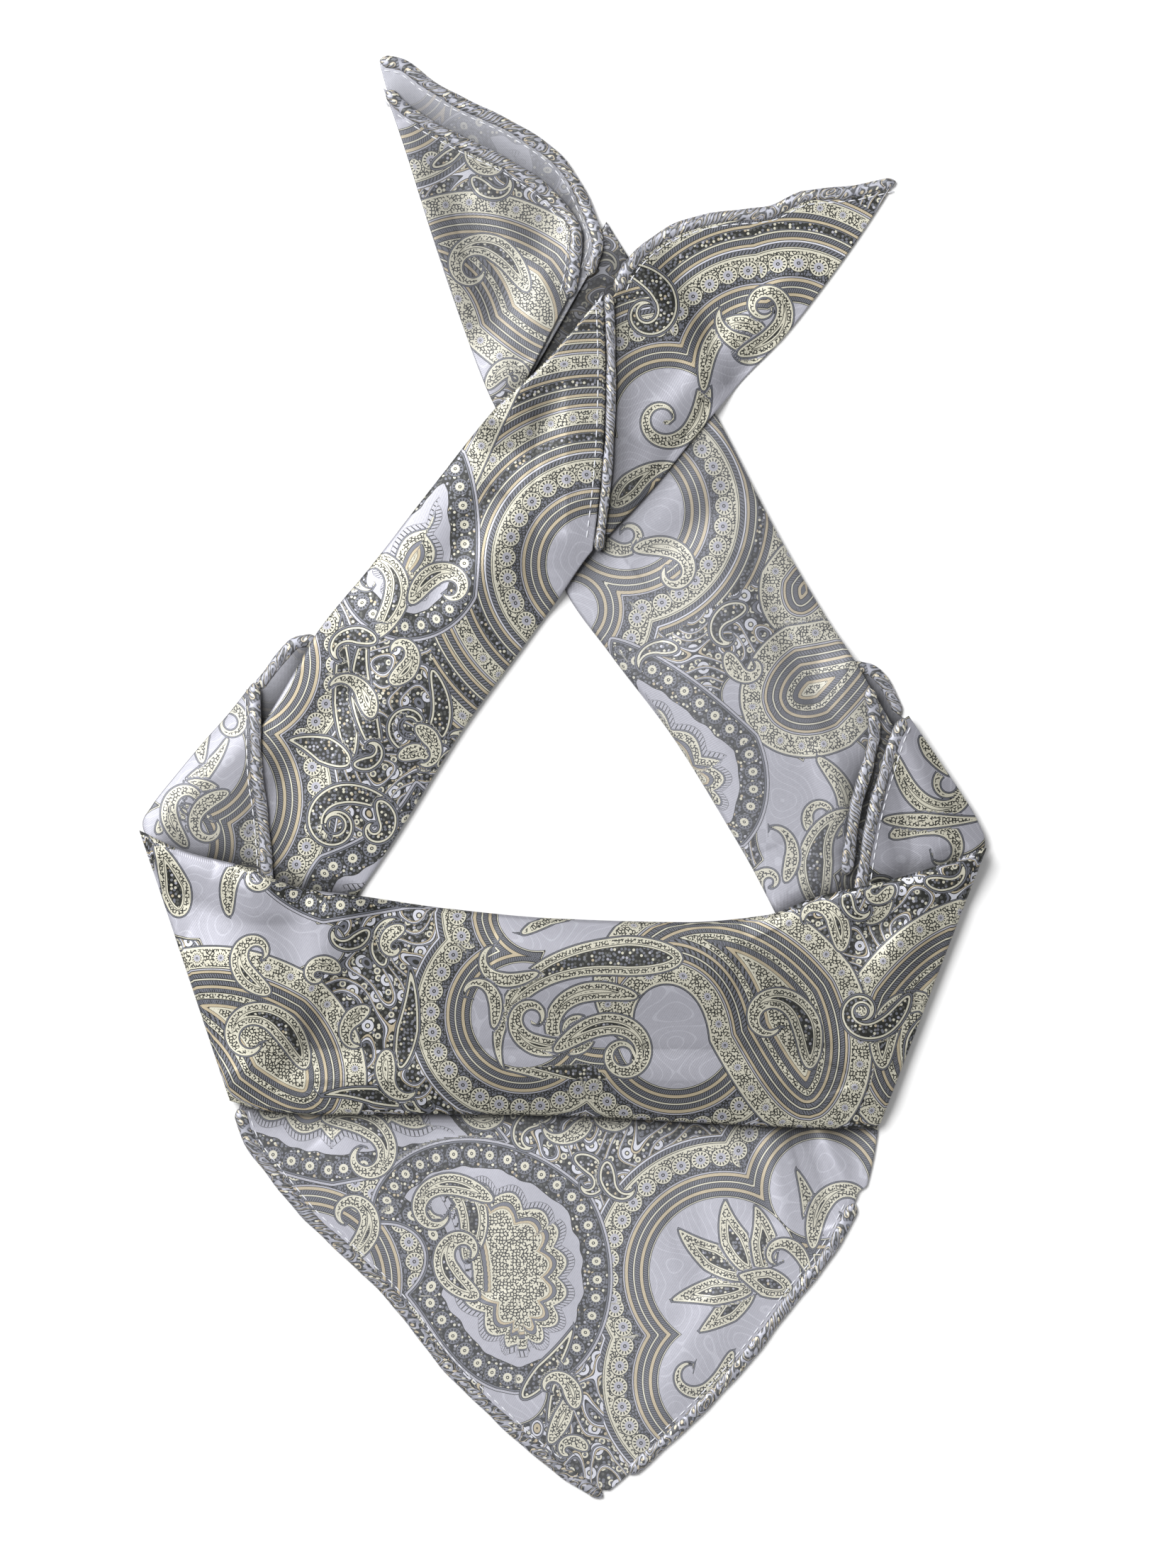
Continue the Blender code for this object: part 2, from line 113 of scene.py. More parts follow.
def measured(line):
    """How far along a line each of its points is."""
    return np.concatenate([[0.0], np.cumsum(np.linalg.norm(np.diff(line, axis=0), axis=1))])


def evenly(line, step):
    """The same line with points a step apart."""
    at = measured(line)
    places = np.linspace(0, at[-1], max(3, round(at[-1] / step)))
    return np.column_stack([np.interp(places, at, line[:, k]) for k in range(line.shape[1])])


def curl_outline(x, y, length, width, heading, curl, belly):
    """Closed outline of a curled, tapering shape from x, y, with its outside always on the left.

    Its middle line sets out at heading and turns by curl, faster towards the tip: heading + curl q^2.2.
    Half its width is a quarter of an ellipse up to belly, and from there (1 - p)^0.8, p going from 0 to 1
    at the tip.
    """
    q = np.linspace(0, 1, 120)
    angle = np.radians(heading + curl * q**2.2)
    way = np.column_stack([np.cos(angle), np.sin(angle)])
    middle = np.array([x, y]) + np.cumsum(way, axis=0) * length / len(q)
    rising = np.sqrt(np.clip(1 - (1 - q / belly) ** 2, 0, 1))
    falling = np.clip((1 - q) / (1 - belly), 0, 1) ** 0.8
    half = width / 2 * np.where(q < belly, rising, falling)
    aside = np.column_stack([-way[:, 1], way[:, 0]]) * half[:, None]
    return evenly(np.vstack([middle + aside, (middle - aside)[::-1], middle[:1] + aside[:1]]), OUTLINE_STEP)


def near_outlines(points, shapes, reach):
    """Signed distance to a shape's outline, the place along that outline, and the shape's kind.

    The distance is negative inside. A later shape lies over those before it. Points further than reach from
    every shape's box keep FAR. A shape's row is what curl_outline takes, and may end with its kind, or else
    that is 0.
    """
    found = np.zeros((len(points), 3))
    found[:, 0] = FAR
    for shape in shapes:
        line = curl_outline(*shape[:7])
        near = np.all((points > line.min(axis=0) - reach) & (points < line.max(axis=0) + reach), axis=1)
        if not near.any():
            continue
        tangent = np.gradient(line, axis=0)
        tangent /= np.maximum(np.linalg.norm(tangent, axis=1, keepdims=True), 1e-9)
        normal = np.column_stack([-tangent[:, 1], tangent[:, 0]])
        tree = KDTree(len(line))
        for k, spot in enumerate(line):
            tree.insert((spot[0], spot[1], 0.0), k)
        tree.balance()
        chosen = np.nonzero(near)[0]
        nearest = np.array([tree.find((x, y, 0.0))[1] for x, y in points[chosen]], int)
        gap = points[chosen] - line[nearest]
        distance = np.sum(gap * normal[nearest], axis=1)
        place = measured(line)[nearest] + np.sum(gap * tangent[nearest], axis=1)
        over_it = (distance < COVER) | (distance < found[chosen, 0])
        values = np.column_stack([distance, place, np.full(len(chosen), sum(shape[7:]))])
        found[chosen[over_it]] = values[over_it]
    return found


def near_grounds(points, discs):
    """The same for plain grounds, with the reach of the bands round them as the third value.

    A ground is a union of discs, so its outline has round lobes and sharp creases. A disc's row is its
    centre, its radius and, where it isn't BORDER, the reach.
    """
    found = np.zeros((len(points), 3))
    found[:, 0] = FAR
    centre = np.mean([disc[0:2] for disc in discs], axis=0)
    for x, y, radius, *reach in discs:
        gap = points - (x, y)
        distance = np.linalg.norm(gap, axis=1) - radius
        facing = math.atan2(y - centre[1], x - centre[0])
        turn = np.arctan2(gap[:, 1], gap[:, 0]) - facing
        turn = (turn + math.pi) % (2 * math.pi) - math.pi
        closer = distance < found[:, 0]
        found[closer, 0] = distance[closer]
        found[closer, 1] = turn[closer] * (radius + 10)
        found[closer, 2] = reach[0] if reach else BORDER
    return found


def small_leaves(points, free, seed):
    """Curled leaves on a staggered grid wherever the points are free of larger motifs."""
    random = np.random.default_rng(seed)
    low, high = points.min(axis=0), points.max(axis=0)
    leaves = []
    for row, y in enumerate(np.arange(low[1], high[1], LEAF_GRID)):
        for x in np.arange(low[0] + LEAF_GRID / 2 * (row % 2), high[0], LEAF_GRID):
            spot = np.array([x, y]) + random.uniform(-LEAF_SCATTER, LEAF_SCATTER, 2)
            heading = random.uniform(0, 360)
            curl = random.choice([-1, 1]) * random.uniform(120, 330)
            size = random.uniform(0.9, 1.5)
            nearest = np.argmin(np.sum((points - spot) ** 2, axis=1))
            if free[nearest] and np.linalg.norm(points[nearest] - spot) < 1.5:
                kind = random.integers(0, 2)
                leaves.append((*spot, LEAF_LENGTH * size, LEAF_WIDTH * size, heading, curl, 0.3, kind))
    return leaves


def print_fields(points, look):
    """The print's four fields at each point: plain grounds, cream and dark teardrops, and curled leaves."""
    ground = near_grounds(points, look["grounds"])
    teardrop = near_outlines(points, look.get("teardrops", ()), MOTIF_REACH)
    lace = near_outlines(points, look.get("laces", ()), MOTIF_REACH)
    some = slice(0, None, 7)
    free = (ground[some, 0] > ground[some, 2] + 1) & (teardrop[some, 0] > CLEAR) & (lace[some, 0] > CLEAR)
    leaves = small_leaves(points[some], free, look["seed"])
    scroll = near_outlines(points, [*look.get("scrolls", ()), *leaves], LEAF_REACH)
    return {"ground": ground, "teardrop": teardrop, "lace": lace, "scroll": scroll}


# The printed silk
# Silk twill, printed on one side and left with a satin sheen. The motifs' inks are bands of their distances,
# and what is finer is drawn with cells and noise of a size in millimetres.

GROUND = "#9e9ea7"
PALE = "#bcbdc6"
DARK = "#20211e"
FIELD = "#484946"
BLUE_GREY = "#63656e"
CREAM = "#bfbcac"
TAN = "#aa9e86"
KEY_LINE = 0.2  # width of the dark line that opens a band
OUTER_START = 18.1  # where the outer bands round a ground begin
OUTER_END = 33.9  # where they begin again
RIB_SPACING = 0.45  # of the twill: real ribs are finer, and these are as coarse as the picture needs


def linear(hex_colour):
    """A colour written as #rrggbb, as the linear values that shaders take."""
    parts = [int(hex_colour[k : k + 2], 16) / 255 for k in (1, 3, 5)]
    return (*[c / 12.92 if c <= 0.04045 else ((c + 0.055) / 1.055) ** 2.4 for c in parts], 1.0)


def node(tree, kind, *values, out=0, **settings):
    """Adds one node and gives one of its outputs, by its place among those in use or by its name.

    A kind of two words ends with the operation. Values go to the inputs in use, in order: a link, a number
    or a hex colour. Settings go by name to an input, or else to the node.
    """
    kind, *operation = kind.split()
    made = tree.nodes.new("ShaderNode" + kind)
    if operation:
        made.operation = operation[0]
    for name, value in settings.items():
        if name not in made.inputs:
            setattr(made, name, value)
    pairs = list(zip([socket for socket in made.inputs if socket.enabled], values))
    pairs += [(made.inputs[name], value) for name, value in settings.items() if name in made.inputs]
    for socket, value in pairs:
        if isinstance(value, bpy.types.NodeSocket):
            tree.links.new(value, socket)
        else:
            socket.default_value = linear(value) if isinstance(value, str) else value
    if isinstance(out, str):
        return made.outputs[out]
    return [socket for socket in made.outputs if socket.enabled][out]


def over(tree, below, above, mask):
    """The ink above printed over the one below where the mask is 1."""
    return node(tree, "Mix", mask, below, above, data_type="RGBA")


def stripes(tree, value, end, rows):
    """Flat bands of ink up to an end: each row is where a band starts, in millimetres, and its ink."""
    start = rows[0][0]
    part = node(tree, "Math DIVIDE", node(tree, "Math SUBTRACT", value, start), end - start)
    ramp = node(tree, "ValToRGB", part)
    bands = ramp.node.color_ramp
    bands.interpolation = "CONSTANT"
    while len(bands.elements) < len(rows):
        bands.elements.new(1.0)
    for element, (place, ink) in zip(bands.elements, rows):
        element.position = (place - start) / (end - start)
        element.color = linear(ink)
    return ramp


def lined(*rows):
    """Rows for stripes, with a dark line at the start of each band."""
    return [band for start, ink in rows for band in ((start, DARK), (start + KEY_LINE, ink))]


def between(tree, value, low, high):
    """A mask of the values from low to high."""
    return node(tree, "Math COMPARE", value, (low + high) / 2, (high - low) / 2)


def field(tree, name):
    """Distance to the nearest motif of a kind, the place along its outline, and its third value."""
    vector = node(tree, "Attribute", attribute_name=name, out="Vector")
    return node(tree, "SeparateXYZ", vector).node.outputs


def print_place(tree):
    """Where each point of the cloth is on the print, in millimetres."""
    return node(tree, "VectorMath SCALE", node(tree, "UVMap", uv_map="print"), 1000)


def rope(tree, distance, run, pitch, slant, share):
    """A mask of slanting strokes, as on a printed cord: FRACT(run / pitch + slant distance) < share."""
    wave = node(tree, "Math MULTIPLY_ADD", run, 1 / pitch, node(tree, "Math MULTIPLY", distance, slant))
    return node(tree, "Math LESS_THAN", node(tree, "Math FRACT", wave), share)


def corded(tree, colour, distance, run, bands):
    """Dark slanting strokes over the bands of a motif that are printed as cords."""
    for low, high in bands:
        strokes = rope(tree, distance, run, 0.85, 0.7, 0.34)
        mask = node(tree, "Math MULTIPLY", strokes, between(tree, distance, low, high))
        colour = over(tree, colour, DARK, mask)
    return colour


def cells(tree, place, size, feature="F1"):
    """Cells of a size in millimetres: the distance to the nearest heart or edge, and the cells' outputs."""
    settings = {"voronoi_dimensions": "2D", "feature": feature, "Scale": 1 / size, "Randomness": 0.8}
    distance = node(tree, "TexVoronoi", place, **settings)
    return node(tree, "Math MULTIPLY", distance, size), distance.node.outputs


def contours(tree, place, size, count):
    """Rising from 0 to 1 between one contour line of a smooth noise and the next: flowing, closed curves."""
    smooth = node(tree, "TexNoise", place, noise_dimensions="2D", Scale=1 / size, Detail=0.0)
    return node(tree, "Math FRACT", node(tree, "Math MULTIPLY", smooth, count))


def seeded(tree, place, ground, size):
    """A ground thick with dark seeds between short crooked strokes, which are the cells' edges, broken."""
    edge, _ = cells(tree, place, size, "DISTANCE_TO_EDGE")
    smooth = node(tree, "TexNoise", place, noise_dimensions="2D", Scale=1 / (size * 1.2), Detail=0.0)
    broken = node(tree, "Math GREATER_THAN", smooth, 0.33)
    stroke = node(tree, "Math MULTIPLY", node(tree, "Math LESS_THAN", edge, size * 0.16), broken)
    heart, _ = cells(tree, place, size * 1.7)
    seed = node(tree, "Math LESS_THAN", heart, size * 0.24)
    return over(tree, over(tree, ground, DARK, stroke), DARK, seed)


def beads(tree, place, size):
    """Small beads side by side with dark lines between them: most of them grey, some cream and a few tan."""
    heart, outputs = cells(tree, place, size)
    chance = node(tree, "SeparateColor", outputs["Color"])
    inks = [(0, FIELD), (0.25, BLUE_GREY), (0.6, CREAM), (0.74, "#6c6e73"), (0.86, GROUND), (0.94, TAN)]
    bead = node(tree, "Math LESS_THAN", heart, size * 0.36)
    return over(tree, DARK, stripes(tree, chance, 1.0, inks), bead)


def daisies(tree, below, place, spacing, size, petal, heart):
    """Daisies of eight petals strewn over a ground, with a dark line round them."""
    bloom, outputs = cells(tree, place, spacing)
    middle = node(tree, "VectorMath SCALE", outputs["Position"], spacing)
    x, y, _ = node(tree, "SeparateXYZ", node(tree, "VectorMath SUBTRACT", place, middle)).node.outputs
    wave = node(tree, "Math COSINE", node(tree, "Math MULTIPLY", node(tree, "Math ARCTAN2", y, x), 8))
    petals = node(tree, "Math SUBTRACT", bloom, node(tree, "Math MULTIPLY", wave, size * 0.12))
    inks = [(0, heart), (size * 0.17, DARK), (size * 0.34, petal), (size * 0.84, DARK)]
    daisy = stripes(tree, petals, size * 1.5, inks)
    return over(tree, below, daisy, node(tree, "Math LESS_THAN", petals, size))


def scallops(tree, below, distance, run, middle, pitch, size, ground, petal, rim=DARK):
    """Round scallops along a border, each with a pale daisy that has a ring at its heart and dark rays."""
    part = node(tree, "Math FRACT", node(tree, "Math DIVIDE", run, pitch))
    x = node(tree, "Math MULTIPLY_ADD", part, pitch, -pitch / 2)
    y = node(tree, "Math SUBTRACT", distance, middle)
    square = node(tree, "Math MULTIPLY_ADD", x, x, node(tree, "Math MULTIPLY", y, y))
    radius = node(tree, "Math SQRT", square)
    wave = node(tree, "Math COSINE", node(tree, "Math MULTIPLY", node(tree, "Math ARCTAN2", y, x), 13))
    ring = between(tree, radius, size * 0.52, size * 0.8)
    rays = node(tree, "Math MULTIPLY", node(tree, "Math GREATER_THAN", wave, 0.2), ring)
    inks = [(0, petal), (size * 0.08, DARK), (size * 0.19, petal), (size * 0.5, ground), (size * 0.92, rim)]
    disc = over(tree, stripes(tree, radius, size * 1.2, inks), DARK, rays)
    return over(tree, below, disc, node(tree, "Math LESS_THAN", radius, size))


def flower_field(tree, place):
    """The dark field: close beads, daisies, and lines of leaves that flow through them."""
    tone = beads(tree, place, 1.25)
    tone = daisies(tree, tone, place, 4.3, 1.0, CREAM, BLUE_GREY)
    tone = daisies(tree, tone, place, 7.3, 1.9, PALE, CREAM)
    flow = contours(tree, place, 15.0, 7.0)
    inks = [(0, DARK), (0.03, TAN), (0.1, DARK), (0.14, PALE), (0.22, DARK), (0.26, BLUE_GREY), (0.34, DARK)]
    return over(tree, tone, stripes(tree, flow, 1.0, inks), node(tree, "Math LESS_THAN", flow, 0.37))


def ringed_grounds(tree, below, place, cream_seeds, dark_beads):
    """Plain grounds with hardly lighter swirls, and the cords, lines and scalloped daisies round them.

    A second set of bands repeats beyond the border, as far as the ground's own reach.
    """
    distance, run, reach = field(tree, "ground")
    inks = [(-4.0, GROUND), *lined((0.0, CREAM), (0.4, BLUE_GREY), (1.8, TAN), (2.8, BLUE_GREY))]
    inks += lined((4.2, CREAM), (4.8, BLUE_GREY), (6.1, TAN), (7.1, GROUND), (7.7, BLUE_GREY))
    inks += [(10.2, CREAM), *lined((15.6, CREAM), (16.1, BLUE_GREY), (17.4, PALE)), (OUTER_START, DARK)]
    bands = stripes(tree, distance, 20.0, inks)
    bands = corded(tree, bands, distance, run, [(0.6, 1.8), (3.0, 4.2), (5.0, 6.1), (16.3, 17.4)])
    bands = over(tree, bands, seeded(tree, place, BLUE_GREY, 0.9), between(tree, distance, 7.9, 10.2))
    bands = over(tree, bands, cream_seeds, between(tree, distance, 10.2, 15.1))
    bands = scallops(tree, bands, distance, run, 11.6, 5.6, 2.7, CREAM, GROUND)
    again = node(tree, "Math WRAP", distance, OUTER_END, OUTER_START)
    far_run = node(tree, "Math MULTIPLY", run, 1.7)
    inks = lined((OUTER_START, TAN), (19.0, BLUE_GREY), (20.4, CREAM), (21.0, BLUE_GREY), (23.6, TAN))
    inks += lined((24.5, BLUE_GREY), (25.9, CREAM), (30.4, GROUND), (31.0, TAN), (31.9, BLUE_GREY))
    inks += [*lined((33.3, CREAM)), (OUTER_END, DARK)]
    outer = stripes(tree, again, 36.0, inks)
    outer = corded(tree, outer, again, far_run, [(19.2, 20.4), (24.7, 25.9), (32.1, 33.3)])
    outer = over(tree, outer, dark_beads, between(tree, again, 21.4, 23.4))
    outer = over(tree, outer, cream_seeds, between(tree, again, 26.5, 30.0))
    outer = scallops(tree, outer, again, far_run, 28.2, 6.4, 1.7, CREAM, GROUND, CREAM)
    bands = over(tree, bands, outer, node(tree, "Math GREATER_THAN", distance, OUTER_START))
    ringed = over(tree, below, bands, node(tree, "Math LESS_THAN", distance, reach))
    swirl = between(tree, contours(tree, place, 13.0, 8.0), 0.0, 0.14)
    swirl = node(tree, "Math MULTIPLY", swirl, node(tree, "Math LESS_THAN", distance, -0.4))
    return over(tree, ringed, PALE, node(tree, "Math MULTIPLY", swirl, 0.35))


def cream_teardrops(tree, below, cream_seeds):
    """A broad cream border of seeds and daisies, cords between tan lines, and a cream heart."""
    distance, run, _ = field(tree, "teardrop")
    inks = [(-30.0, CREAM), *lined((-17.6, TAN), (-16.7, BLUE_GREY), (-15.3, CREAM), (-13.4, BLUE_GREY))]
    inks += lined((-12.2, TAN), (-11.3, BLUE_GREY), (-9.9, CREAM), (-9.3, BLUE_GREY), (-7.9, TAN))
    inks += [*lined((-7.0, GROUND), (-6.4, CREAM), (-0.2, BLUE_GREY)), (0.25, DARK)]
    drop = stripes(tree, distance, 2.0, inks)
    drop = over(tree, drop, cream_seeds, between(tree, distance, -5.8, -0.7))
    drop = over(tree, drop, cream_seeds, between(tree, distance, -14.9, -13.6))
    drop = over(tree, drop, cream_seeds, node(tree, "Math LESS_THAN", distance, -18.0))
    drop = scallops(tree, drop, distance, run, -3.2, 7.4, 1.9, CREAM, GROUND, CREAM)
    drop = corded(tree, drop, distance, run, [(-16.5, -15.3), (-13.2, -12.2), (-11.1, -9.9), (-9.1, -7.9)])
    return over(tree, below, drop, node(tree, "Math LESS_THAN", distance, 0.45))


def dark_teardrops(tree, below, place, cream_seeds, dark_beads):
    """Rosettes on dark beads at the edge, then a pale river, a ladder and a lobed cream flower inside.

    The flower's lobes lie along the outline: distance - 3 |sin(pi run / 13)|.
    """
    distance, run, _ = field(tree, "lace")
    ripple = node(tree, "Math SINE", node(tree, "Math MULTIPLY", run, math.pi / 13))
    lobed = node(tree, "Math MULTIPLY_ADD", node(tree, "Math ABSOLUTE", ripple), -3.0, distance)
    inks = [(-30.0, CREAM), *lined((-20.6, TAN), (-19.7, BLUE_GREY), (-18.5, CREAM), (-15.6, BLUE_GREY))]
    lace = stripes(tree, lobed, 2.0, inks + lined((-15.1, GROUND), (-13.2, GROUND)))
    ladder = between(tree, lobed, -14.9, -13.2)
    rungs = node(tree, "Math MULTIPLY", rope(tree, lobed, run, 1.2, 0.15, 0.24), ladder)
    lace = over(tree, lace, DARK, rungs)
    lace = over(tree, lace, cream_seeds, between(tree, lobed, -18.1, -16.1))
    lace = over(tree, lace, cream_seeds, node(tree, "Math LESS_THAN", lobed, -21.0))
    uneven = node(tree, "TexNoise", place, noise_dimensions="2D", Scale=1 / 5.0, Detail=0.0)
    river = node(tree, "Math MULTIPLY_ADD", uneven, 2.0, distance)
    shore = stripes(tree, river, 2.0, [(-7.0, DARK), (-6.75, BLUE_GREY)])
    lace = over(tree, lace, shore, node(tree, "Math GREATER_THAN", river, -7.0))
    lace = over(tree, lace, dark_beads, node(tree, "Math GREATER_THAN", river, -6.75))
    lace = scallops(tree, lace, distance, run, -3.9, 5.8, 2.6, BLUE_GREY, CREAM)
    rim = stripes(tree, distance, 2.0, [*lined((-0.9, BLUE_GREY), (-0.3, GROUND)), (0.5, DARK)])
    lace = over(tree, lace, rim, node(tree, "Math GREATER_THAN", distance, -0.9))
    return over(tree, below, lace, node(tree, "Math LESS_THAN", distance, 0.7))


def curled_leaves(tree, below, cream_seeds, dark_beads):
    """Leaves of two kinds, both with a line round them: seeded cream, and dark beads in a pale edge."""
    distance, _, kind = field(tree, "scroll")
    inks = [(-9.0, DARK), (-2.5, CREAM), (-2.1, DARK), (-1.9, CREAM)]
    inks += [(0.0, DARK), (0.16, BLUE_GREY), (0.42, DARK)]
    leaf = stripes(tree, distance, 1.2, inks)
    leaf = over(tree, leaf, cream_seeds, between(tree, distance, -1.7, -0.45))
    leaf = over(tree, leaf, dark_beads, node(tree, "Math LESS_THAN", distance, -2.7))
    inks = [(-2.0, DARK), (-0.75, CREAM), (-0.25, DARK), (0.0, BLUE_GREY), (0.4, DARK)]
    dark_leaf = stripes(tree, distance, 1.2, inks)
    dark_leaf = over(tree, dark_leaf, dark_beads, node(tree, "Math LESS_THAN", distance, -0.9))
    leaf = over(tree, leaf, dark_leaf, node(tree, "Math GREATER_THAN", kind, 0.5))
    return over(tree, below, leaf, node(tree, "Math LESS_THAN", distance, 0.58))


def printed_colour(tree):
    """The whole print, from the dark field up to the curled leaves."""
    place = print_place(tree)
    cream_seeds = seeded(tree, place, CREAM, 0.95)
    dark_beads = beads(tree, place, 1.1)
    colour = ringed_grounds(tree, flower_field(tree, place), place, cream_seeds, dark_beads)
    colour = cream_teardrops(tree, colour, cream_seeds)
    colour = dark_teardrops(tree, colour, place, cream_seeds, dark_beads)
    return curled_leaves(tree, colour, cream_seeds, dark_beads)


def satin(tree, colour, twill_strength):
    """Colour and sheen of silk twill: fine slanting ribs, as a bump and as faint lighter and darker lines in
    the colour, over a colour that wavers softly at random.

    The ribs run another way on each piece, so each is given its own painted sheen, a share of pale colour
    mixed into its print, and its own tone, painted light and shade that make it lighter or darker along its
    length. The tone is also darker where cloth that stands beside a place keeps the light off it, which is
    painted shade.
    """
    shader = tree.nodes["Principled BSDF"]
    shader.inputs["Metallic"].default_value = 0.4
    shader.inputs["Roughness"].default_value = 0.45
    shader.inputs["Specular IOR Level"].default_value = 0.5
    shader.inputs["Sheen Weight"].default_value = 0.1
    shader.inputs["Sheen Roughness"].default_value = 0.4
    names = ("haze", "tone", "twill")
    haze, tone, ribs = [node(tree, "Attribute", attribute_name=name, out="Fac") for name in names]
    # Painted sheen: a pale colour mixed into the print, more on some pieces than on others.
    colour = over(tree, colour, "#a9aab2", haze)
    rib = node(tree, "Math SINE", node(tree, "Math MULTIPLY", ribs, 2 * math.pi / RIB_SPACING))
    uneven = node(tree, "TexNoise", node(tree, "TexCoord", out="Object"), Scale=900.0, Detail=3.0)
    dimming = node(tree, "Math MULTIPLY_ADD", rib, twill_strength, 1.0)
    dimming = node(tree, "Math MULTIPLY", dimming, node(tree, "Math MULTIPLY_ADD", uneven, 0.16, 0.92))
    # Painted light and shade: the tone makes each piece lighter or darker along its length, and shade()
    # darkens it further beside higher cloth.
    dimming = node(tree, "Math MULTIPLY", dimming, tone)
    tree.links.new(node(tree, "VectorMath SCALE", colour, dimming), shader.inputs["Base Color"])
    tree.links.new(node(tree, "Bump", Strength=0.2, Distance=0.00005, Height=rib), shader.inputs["Normal"])


def new_material(name):
    """An empty Principled material."""
    material = bpy.data.materials.new(name)
    material.use_nodes = True
    return material


# The right side: crisp ink and a satin sheen.
printed_silk = new_material("printed silk twill")
satin(printed_silk.node_tree, printed_colour(printed_silk.node_tree), 0.1)

# How the cloth lies
# Each piece is laid on those before it: the pile holds the height of all cloth so far, on a grid of 1 mm,
# and the next piece stands clear of it and comes down softly round it.

MM = 0.001
PILE_HALF_X = 135
PILE_HALF_Y = 222
REACH = 4  # cells by which cloth stands off round what it lies on
EASE = 4  # cells over which it comes down
GAP = 0.3
COARSE = 6  # an underside has one face where the top has this many each way
STEP = 0.55  # between the points of a top side
PATH_STEP = 0.6  # between the points of a path that lies on cloth
FULLNESS = 2.0  # times the crown that the tables give
CREASE_RISE = 1.8  # times the rise that the tables of creases give
FOLD_NOTCH = 0.3  # how far the line between two folds lies inside a stretch's outline
SHELL = 0.4  # thickness of a single layer's own shell
LAYER_ROUND = 0.35  # how far its edge rounds in
LAYER_TOP = 0.9  # how high its top stands where it has no crease, with the air under it
LAYER_LOW = 0.45  # its least height in a crease
LAYER_HIGH = 2.0  # its greatest height on a crease
SHADE_REACH = 4  # cells, taken twice, over which cloth nearby shades a place
SHADE_DEPTH = 1.2  # the height by which it stands above a place that it shades by two thirds

pile = np.zeros((2 * PILE_HALF_X + 1, 2 * PILE_HALF_Y + 1))


def evened(heights, cells_out):
    """A grid's heights, each replaced by the mean of the square of cells round it."""
    for axis in (0, 1):
        shifts = range(-cells_out, cells_out + 1)
        heights = np.mean([np.roll(heights, shift, axis) for shift in shifts], axis=0)
    return heights


def cell_of(points):
    """The cells of the pile in which points lie."""
    return tuple(np.round(points[:, 0:2] + (PILE_HALF_X, PILE_HALF_Y)).astype(int).T)


def floor_under(plan):
    """The height at which a piece lies, for any array of places (..., 2).

    It is the highest of the pile within REACH, with GAP on it, evened over EASE and read between four cells.
    """
    height = np.where(pile > 0, pile + GAP, 0.0)
    for axis in (0, 1):
        height = np.max([np.roll(height, shift, axis) for shift in range(-REACH, REACH + 1)], axis=0)
    height = evened(height, EASE)
    i, j = plan[..., 0] + PILE_HALF_X, plan[..., 1] + PILE_HALF_Y
    i0, j0 = i.astype(int), j.astype(int)
    fi, fj = i - i0, j - j0
    near = height[i0, j0] * (1 - fi) + height[i0 + 1, j0] * fi
    far = height[i0, j0 + 1] * (1 - fi) + height[i0 + 1, j0 + 1] * fi
    return near * (1 - fj) + far * fj


def lay(points):
    """Takes the top of one more piece into the pile."""
    np.maximum.at(pile, cell_of(points), points[:, 2])


def inward(edge, other):
    """The way in from an edge: square to it, on the table, towards the other edge."""
    tangent = np.gradient(edge, axis=0)
    normal = np.column_stack([-tangent[:, 1], tangent[:, 0]])
    normal /= np.linalg.norm(normal, axis=1, keepdims=True)
    return normal * np.sign(np.sum(normal * (other - edge), axis=1, keepdims=True))


def close_rows(table):
    """The rows of an outline's table, 1 mm apart on smooth curves through them.

    Its columns are x and y of edge a, x and y of edge b, and two more. On a single layer these say whether
    edge a and edge b have a hem, and on a folded stretch they are the height of its edge and the rise of
    its crown.
    """
    rows = np.array(table, float)
    at = measured((rows[:, 0:2] + rows[:, 2:4]) / 2)
    return eased(at, rows, np.linspace(0, at[-1], round(at[-1]) + 1))


def plan_grid(rows, shape, round_in, bow):
    """Places on a piece, row by row, all of them round_in inside its outline, and the rows' other columns.

    The last row is bent by the bow, and the bend fades away from it: bow u^6 4v(1 - v).
    """
    at = measured((rows[:, 0:2] + rows[:, 2:4]) / 2)
    places = np.linspace(round_in, at[-1] - round_in, shape[0] + 1)
    rows = np.column_stack([np.interp(places, at, rows[:, k]) for k in range(rows.shape[1])])
    start, end = rows[:, 0:2], rows[:, 2:4]
    way = (end - start) / np.maximum(np.linalg.norm(end - start, axis=1, keepdims=True), 1e-6)
    start, end = start + way * round_in, end - way * round_in
    part = np.linspace(0, 1, shape[1] + 1)
    plan = start[:, None] + (end - start)[:, None] * part[None, :, None]
    towards_last = (places / at[-1]) ** 6
    plan[:, :, 0] += bow * towards_last[:, None] * 4 * part * (1 - part)
    return plan, rows


def creased(plan, creases):
    """Height that soft creases add: rise exp(-(aside / width)^2) sqrt(4t(1 - t)).

    The part of the way along a crease is t. Its columns are x and y of one end, x and y of the other, its
    width and its rise.
    """
    height = np.zeros(plan.shape[:2])
    for x0, y0, x1, y1, width, rise in creases:
        start, run = np.array([x0, y0]), np.array([x1 - x0, y1 - y0])
        part = np.clip((plan - start) @ run / (run @ run), 0, 1)
        aside = np.linalg.norm(plan - start - part[..., None] * run, axis=2)
        height += CREASE_RISE * rise * np.exp(-((aside / width) ** 2)) * np.sqrt(4 * part * (1 - part))
    return height


